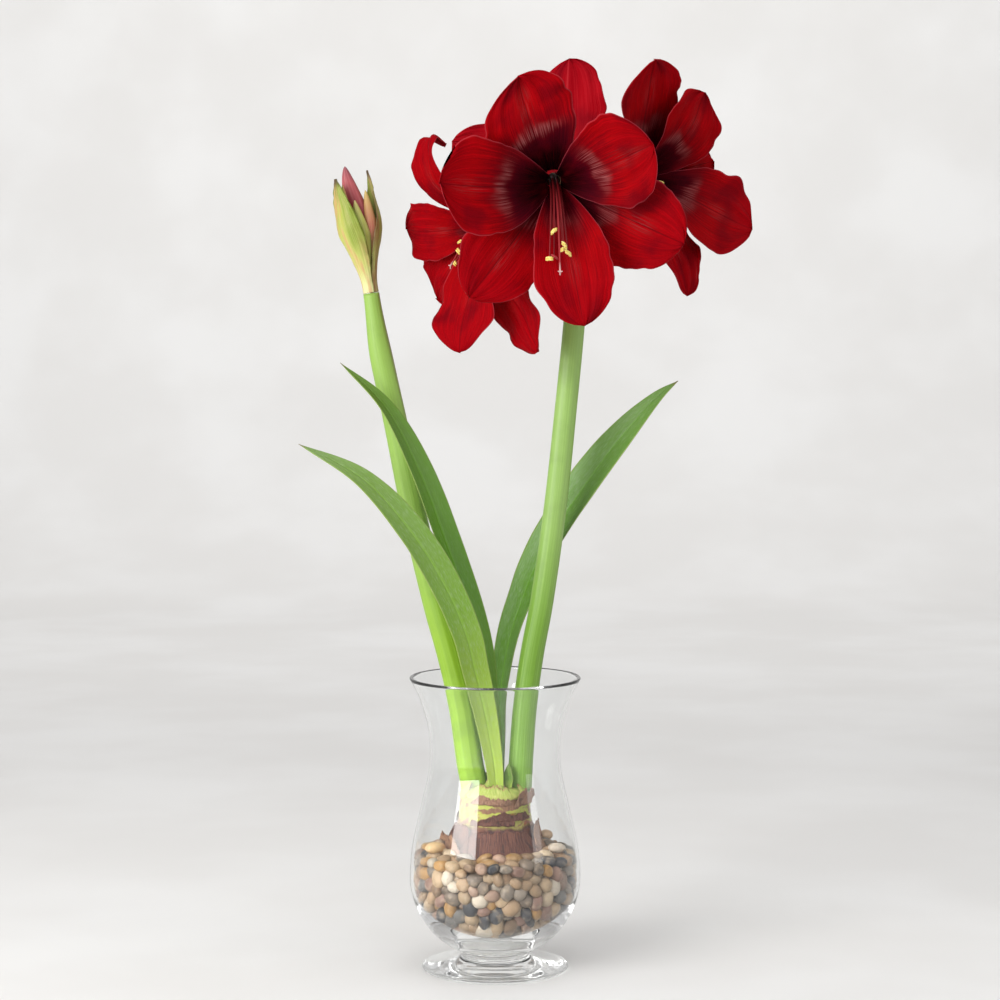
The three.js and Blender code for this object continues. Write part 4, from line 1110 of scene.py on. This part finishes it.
def make_flower(name, throat, pedicel, yaw, pitch, reach, petals, seed):
    flower = Flower(throat, pedicel, yaw, pitch, reach)
    add_piece(f"{name}_tube_skin", [flower_tube(flower)], [f"{name}_tube"])
    add_piece(f"{name}_stamen_set", stamen_parts(flower, seed), [f"{name}_stamens"])
    add_piece(f"{name}_style_thread", style_parts(flower), [f"{name}_style"])
    for k, (petal, shape) in enumerate(petals.items()):
        part = petal_part(flower, petal, *shape, seed + 10 * k)
        add_piece(f"{name}_{petal}_blade", [part], [f"{name}_petal_{petal}"], seed + k)


# Each tepal: bearing, midrib points, width, cup, roll, sway, heart
make_flower("front", (46, -45, 640), 265, 3, -12, 68, {
    "outer_top": (122, ((40, 43), (50, 90)), 78, 0.1, 0, -18, 0.0),
    "outer_left": (231, ((42, 52), (58, 107)), 66, 0.05, 0, 0, 0.16),
    "outer_right": (337, ((42, 52), (58, 106)), 74, 0.05, 0, 0, 0.12),
    "inner_left": (183, ((52, 46), (72, 92)), 84, 0.3, 0, -12, 0.0),
    "inner_right": (27, ((52, 42), (62, 80)), 86, 0.3, 0, 0, 0.02),
    "inner_bottom": (281, ((58, 44), (80, 103)), 64, 0.3, 0, 0, 0.18),
}, 100)
make_flower("left", (4, -2, 608), 177, -58, -14, 42, {
    "outer_top": (109, ((42, 42), (44, 66), (33, 83), (21, 73)), 31, 0.2, 14, 0, 0.26),
    "outer_far": (222, ((36, 42), (42, 76)), 56, 0.1, 0, 0, 0.26),
    "outer_near": (302, ((26, 46), (25, 84), (30, 117)), 58, 0.1, 0, 0, 0.26),
    "inner_far": (172, ((46, 36), (50, 64)), 54, 0.2, 0, 0, 0.26),
    "inner_near": (40, ((36, 34), (46, 55)), 50, 0.2, 0, 0, 0.26),
    "inner_bottom": (273, ((38, 41), (68, 89)), 78, 0.1, -12, 0, 0.26),
}, 200)
make_flower("right", (104, -12, 642), 353, 50, 2, 30, {
    "outer_top": (114, ((31, 39), (60, 94)), 64, 0.3, -20, 0, 0.08),
    "outer_far": (15, ((40, 34), (50, 56)), 54, 0.1, 0, 0, 0.05),
    "outer_bottom": (272, ((48, 61), (58, 95)), 50, 0.3, 0, 0, 0.2),
    "inner_top": (67, ((54, 38), (58, 72)), 70, 0.2, 0, 0, 0.05),
    "inner_near": (195, ((42, 24), (56, 40)), 46, 0.2, 0, 0, 0.1),
    "inner_far": (323, ((46, 31), (74, 81)), 92, 0.1, -12, 8, 0.08),
}, 300)
make_flower("back", (66, 46, 640), 85, 178, 8, 68, {
    "outer_top": (77, ((38, 48), (50, 102)), 66, 0.05, 0, 18, 0.08),
    "outer_left": (209, ((40, 44), (56, 92)), 62, 0.05, 0, 0, 0.08),
    "outer_right": (330, ((40, 44), (56, 92)), 62, 0.05, 0, 0, 0.08),
    "inner_left": (150, ((50, 40), (66, 82)), 60, 0.3, 0, 0, 0.08),
    "inner_right": (19, ((46, 48), (48, 110)), 56, 0.2, 0, 0, 0.08),
    "inner_bottom": (283, ((50, 44), (62, 97)), 52, 0.2, 0, 0, 0.08),
}, 400)

# ---------- withered bracts under the umbel ----------

BRACT_DROP, BRACT_DISTANCE, BRACT_THICKNESS = 3, 11.5, 0.4


def husk(name, bearing, length, width, curl, seed):
    """A papery bract hanging from the umbel; bearing is in degrees, curl how far its tip stands away."""
    s, v = grid(48, 17)
    turn = math.radians(bearing)
    out = np.array((math.cos(turn), math.sin(turn), 0))
    half = width / 2 * np.maximum(0.03, np.sin(np.pi * (0.22 + 0.78 * s)) ** 0.8)
    away = BRACT_DISTANCE + curl * s**2 + 0.1 * half * v**2
    away = away + 1.1 * smoothstep(s, 0.1, 0.5) * ripple(1.7, seed, 4 * s, v)
    twist = 2.5 * smoothstep(s, 0.3, 1) * ripple(3, seed + 1, 3 * s[:, :1], 0)
    top = UMBEL - (0, 0, BRACT_DROP)
    surface = (top - length * s[..., None] * np.array((0, 0, 1)) + out * away[..., None]
               + np.cross((0, 0, 1), out) * (v * half + twist)[..., None])
    add_piece(f"{name}_paper", [sheet_part(surface, BRACT_THICKNESS, "husk", s, v)], [name])


husk("bract_left", 165, 48, 15, 9, 71)
husk("bract_right", 30, 42, 14, 12, 72)

# ---------- opening bud: two spathe valves round four buds ----------

BUD_FOOT, BUD_TOP = np.array((-100.2, 0, 552.4)), np.array((-117, 0, 655))
BUD_AXIS = unit(BUD_TOP - BUD_FOOT)
BUD_LENGTH = np.linalg.norm(BUD_TOP - BUD_FOOT)
BUD_SIDE = unit((1, 0, 0) - BUD_AXIS * BUD_AXIS[0])
BUD_DEPTH = np.cross(BUD_AXIS, BUD_SIDE)
BUD_FOOT_RADIUS, BUD_RADIUS = 6.2, 19.5
VALVE_RIBS = 34
SMALL_BUD_START = 0.1  # share of a small bud's length that stays hidden in the stem's top


def bud_spread(s):
    """How wide the bud is, as a share of its widest."""
    return lerp(BUD_FOOT_RADIUS, BUD_RADIUS, smoothstep(s, 0.05, 0.62)) / BUD_RADIUS


def in_bud(height, across, deep):
    """Points at heights up the bud's axis, and across and deep from it."""
    aside = BUD_SIDE * across[..., None] + BUD_DEPTH * deep[..., None]
    return BUD_FOOT + BUD_AXIS * height[..., None] + aside


def valve(name, bearing, span, length, belly, tip_radius, look, seed):
    """A spathe valve: a curved, ribbed sheet round one side of the bud. bearing and span are in degrees."""
    s, v = grid(90, 41)
    close = np.maximum(0.012, 1 - s**1.7) ** 0.75
    angle = np.radians(bearing + v * span * close)
    radius = lerp(bud_spread(s) * belly, tip_radius, smoothstep(s, 0.55, 1))
    radius = radius + 0.16 * np.cos(v * VALVE_RIBS) * smoothstep(s, 0, 0.2) * (1 - s**4)
    radius = radius + smoothstep(s, 0.1, 0.4) * (0.7 * ripple(1.8, seed, 4 * s, 1.5 * v) - 0.4)
    radius = radius + 1.6 * np.abs(v) ** 8 * ripple(1.2, seed + 1, 4 * s[:, :1], 0)
    surface = in_bud(s * length, radius * np.cos(angle), radius * np.sin(angle))
    thickness = 1.0 - 0.6 * np.abs(v) ** 3
    add_piece(f"{name}_blade", [sheet_part(surface, thickness, look, s, v)], [name])


valve("bud_valve_left", 218, 82, 94, 18.5, 17, "valve_left", 81)
valve("bud_valve_right", 20, 80, 98, 18, 14, "valve_right", 82)


def small_bud(name, x, y, thick, length, tip_shift, look, seed):
    """A creased flower bud inside the valves, at x and y from the bud's axis."""
    s = np.linspace(SMALL_BUD_START, 1, 64)[:, None]
    turn = bearings(36)
    height = s * length
    spread = np.minimum(1, bud_spread(height / BUD_LENGTH) * 1.02)
    size = np.maximum(0.2, thick * np.minimum(spread, np.sin(np.pi * np.minimum(1, 0.2 + 0.8 * s)) ** 0.62))
    size = size * (1 - 0.10 * np.abs(np.sin(1.5 * turn + seed)) ** 0.5 * smoothstep(s, 0.3, 0.6))
    across = x * spread + tip_shift * smoothstep(s, 0.5, 1) + size * np.cos(turn)
    rings = in_bud(height, across, y * spread + size * np.sin(turn))
    along = (s[:, 0] - SMALL_BUD_START) / (1 - SMALL_BUD_START)
    add_piece(f"{name}_skin", [tube_part(rings, look, along)], [name], seed)


small_bud("bud_tall", 0.5, 4, 11.5, 104, -5, "bud_red", 1.0)
small_bud("bud_left", -7.5, -5, 5.5, 89, -1, "bud_mixed", 2.0)
small_bud("bud_front", 2.5, -8.5, 7, 75, -3, "bud_green", 3.0)
small_bud("bud_right", 9, -2.5, 6.5, 82, 0, "bud_mixed", 4.0)

# ---------- stage, in metres ----------

STAGE_REACH = 14.0  # in front, and to each side
SWEEP_START, SWEEP_RADIUS, BACKDROP_HEIGHT = 2.6, 1.2, 5.0
FLOOR_DROP = 0.0004  # keeps the floor clear of the vase's foot


def studio_sweep():
    """A pale floor that curves up into a backdrop well behind the part."""
    path = [(-STAGE_REACH, 0.0), (SWEEP_START, 0.0)]
    path += [(SWEEP_START + SWEEP_RADIUS * math.sin(a), SWEEP_RADIUS * (1 - math.cos(a)))
             for a in np.linspace(0.1, math.pi / 2, 18)]
    path += [(SWEEP_START + SWEEP_RADIUS, BACKDROP_HEIGHT)]
    points = [(x, y, z - FLOOR_DROP) for y, z in path for x in (-STAGE_REACH, STAGE_REACH)]
    mesh = bpy.data.meshes.new("studio_floor")
    mesh.from_pydata(points, [], [(2 * k, 2 * k + 1, 2 * k + 3, 2 * k + 2) for k in range(len(path) - 1)])
    mesh.polygons.foreach_set("use_smooth", [True] * len(mesh.polygons))
    mesh.materials.append(LOOKS["floor"])
    sweep = bpy.data.objects.new("studio_floor", mesh)
    scene.collection.objects.link(sweep)


studio_sweep()
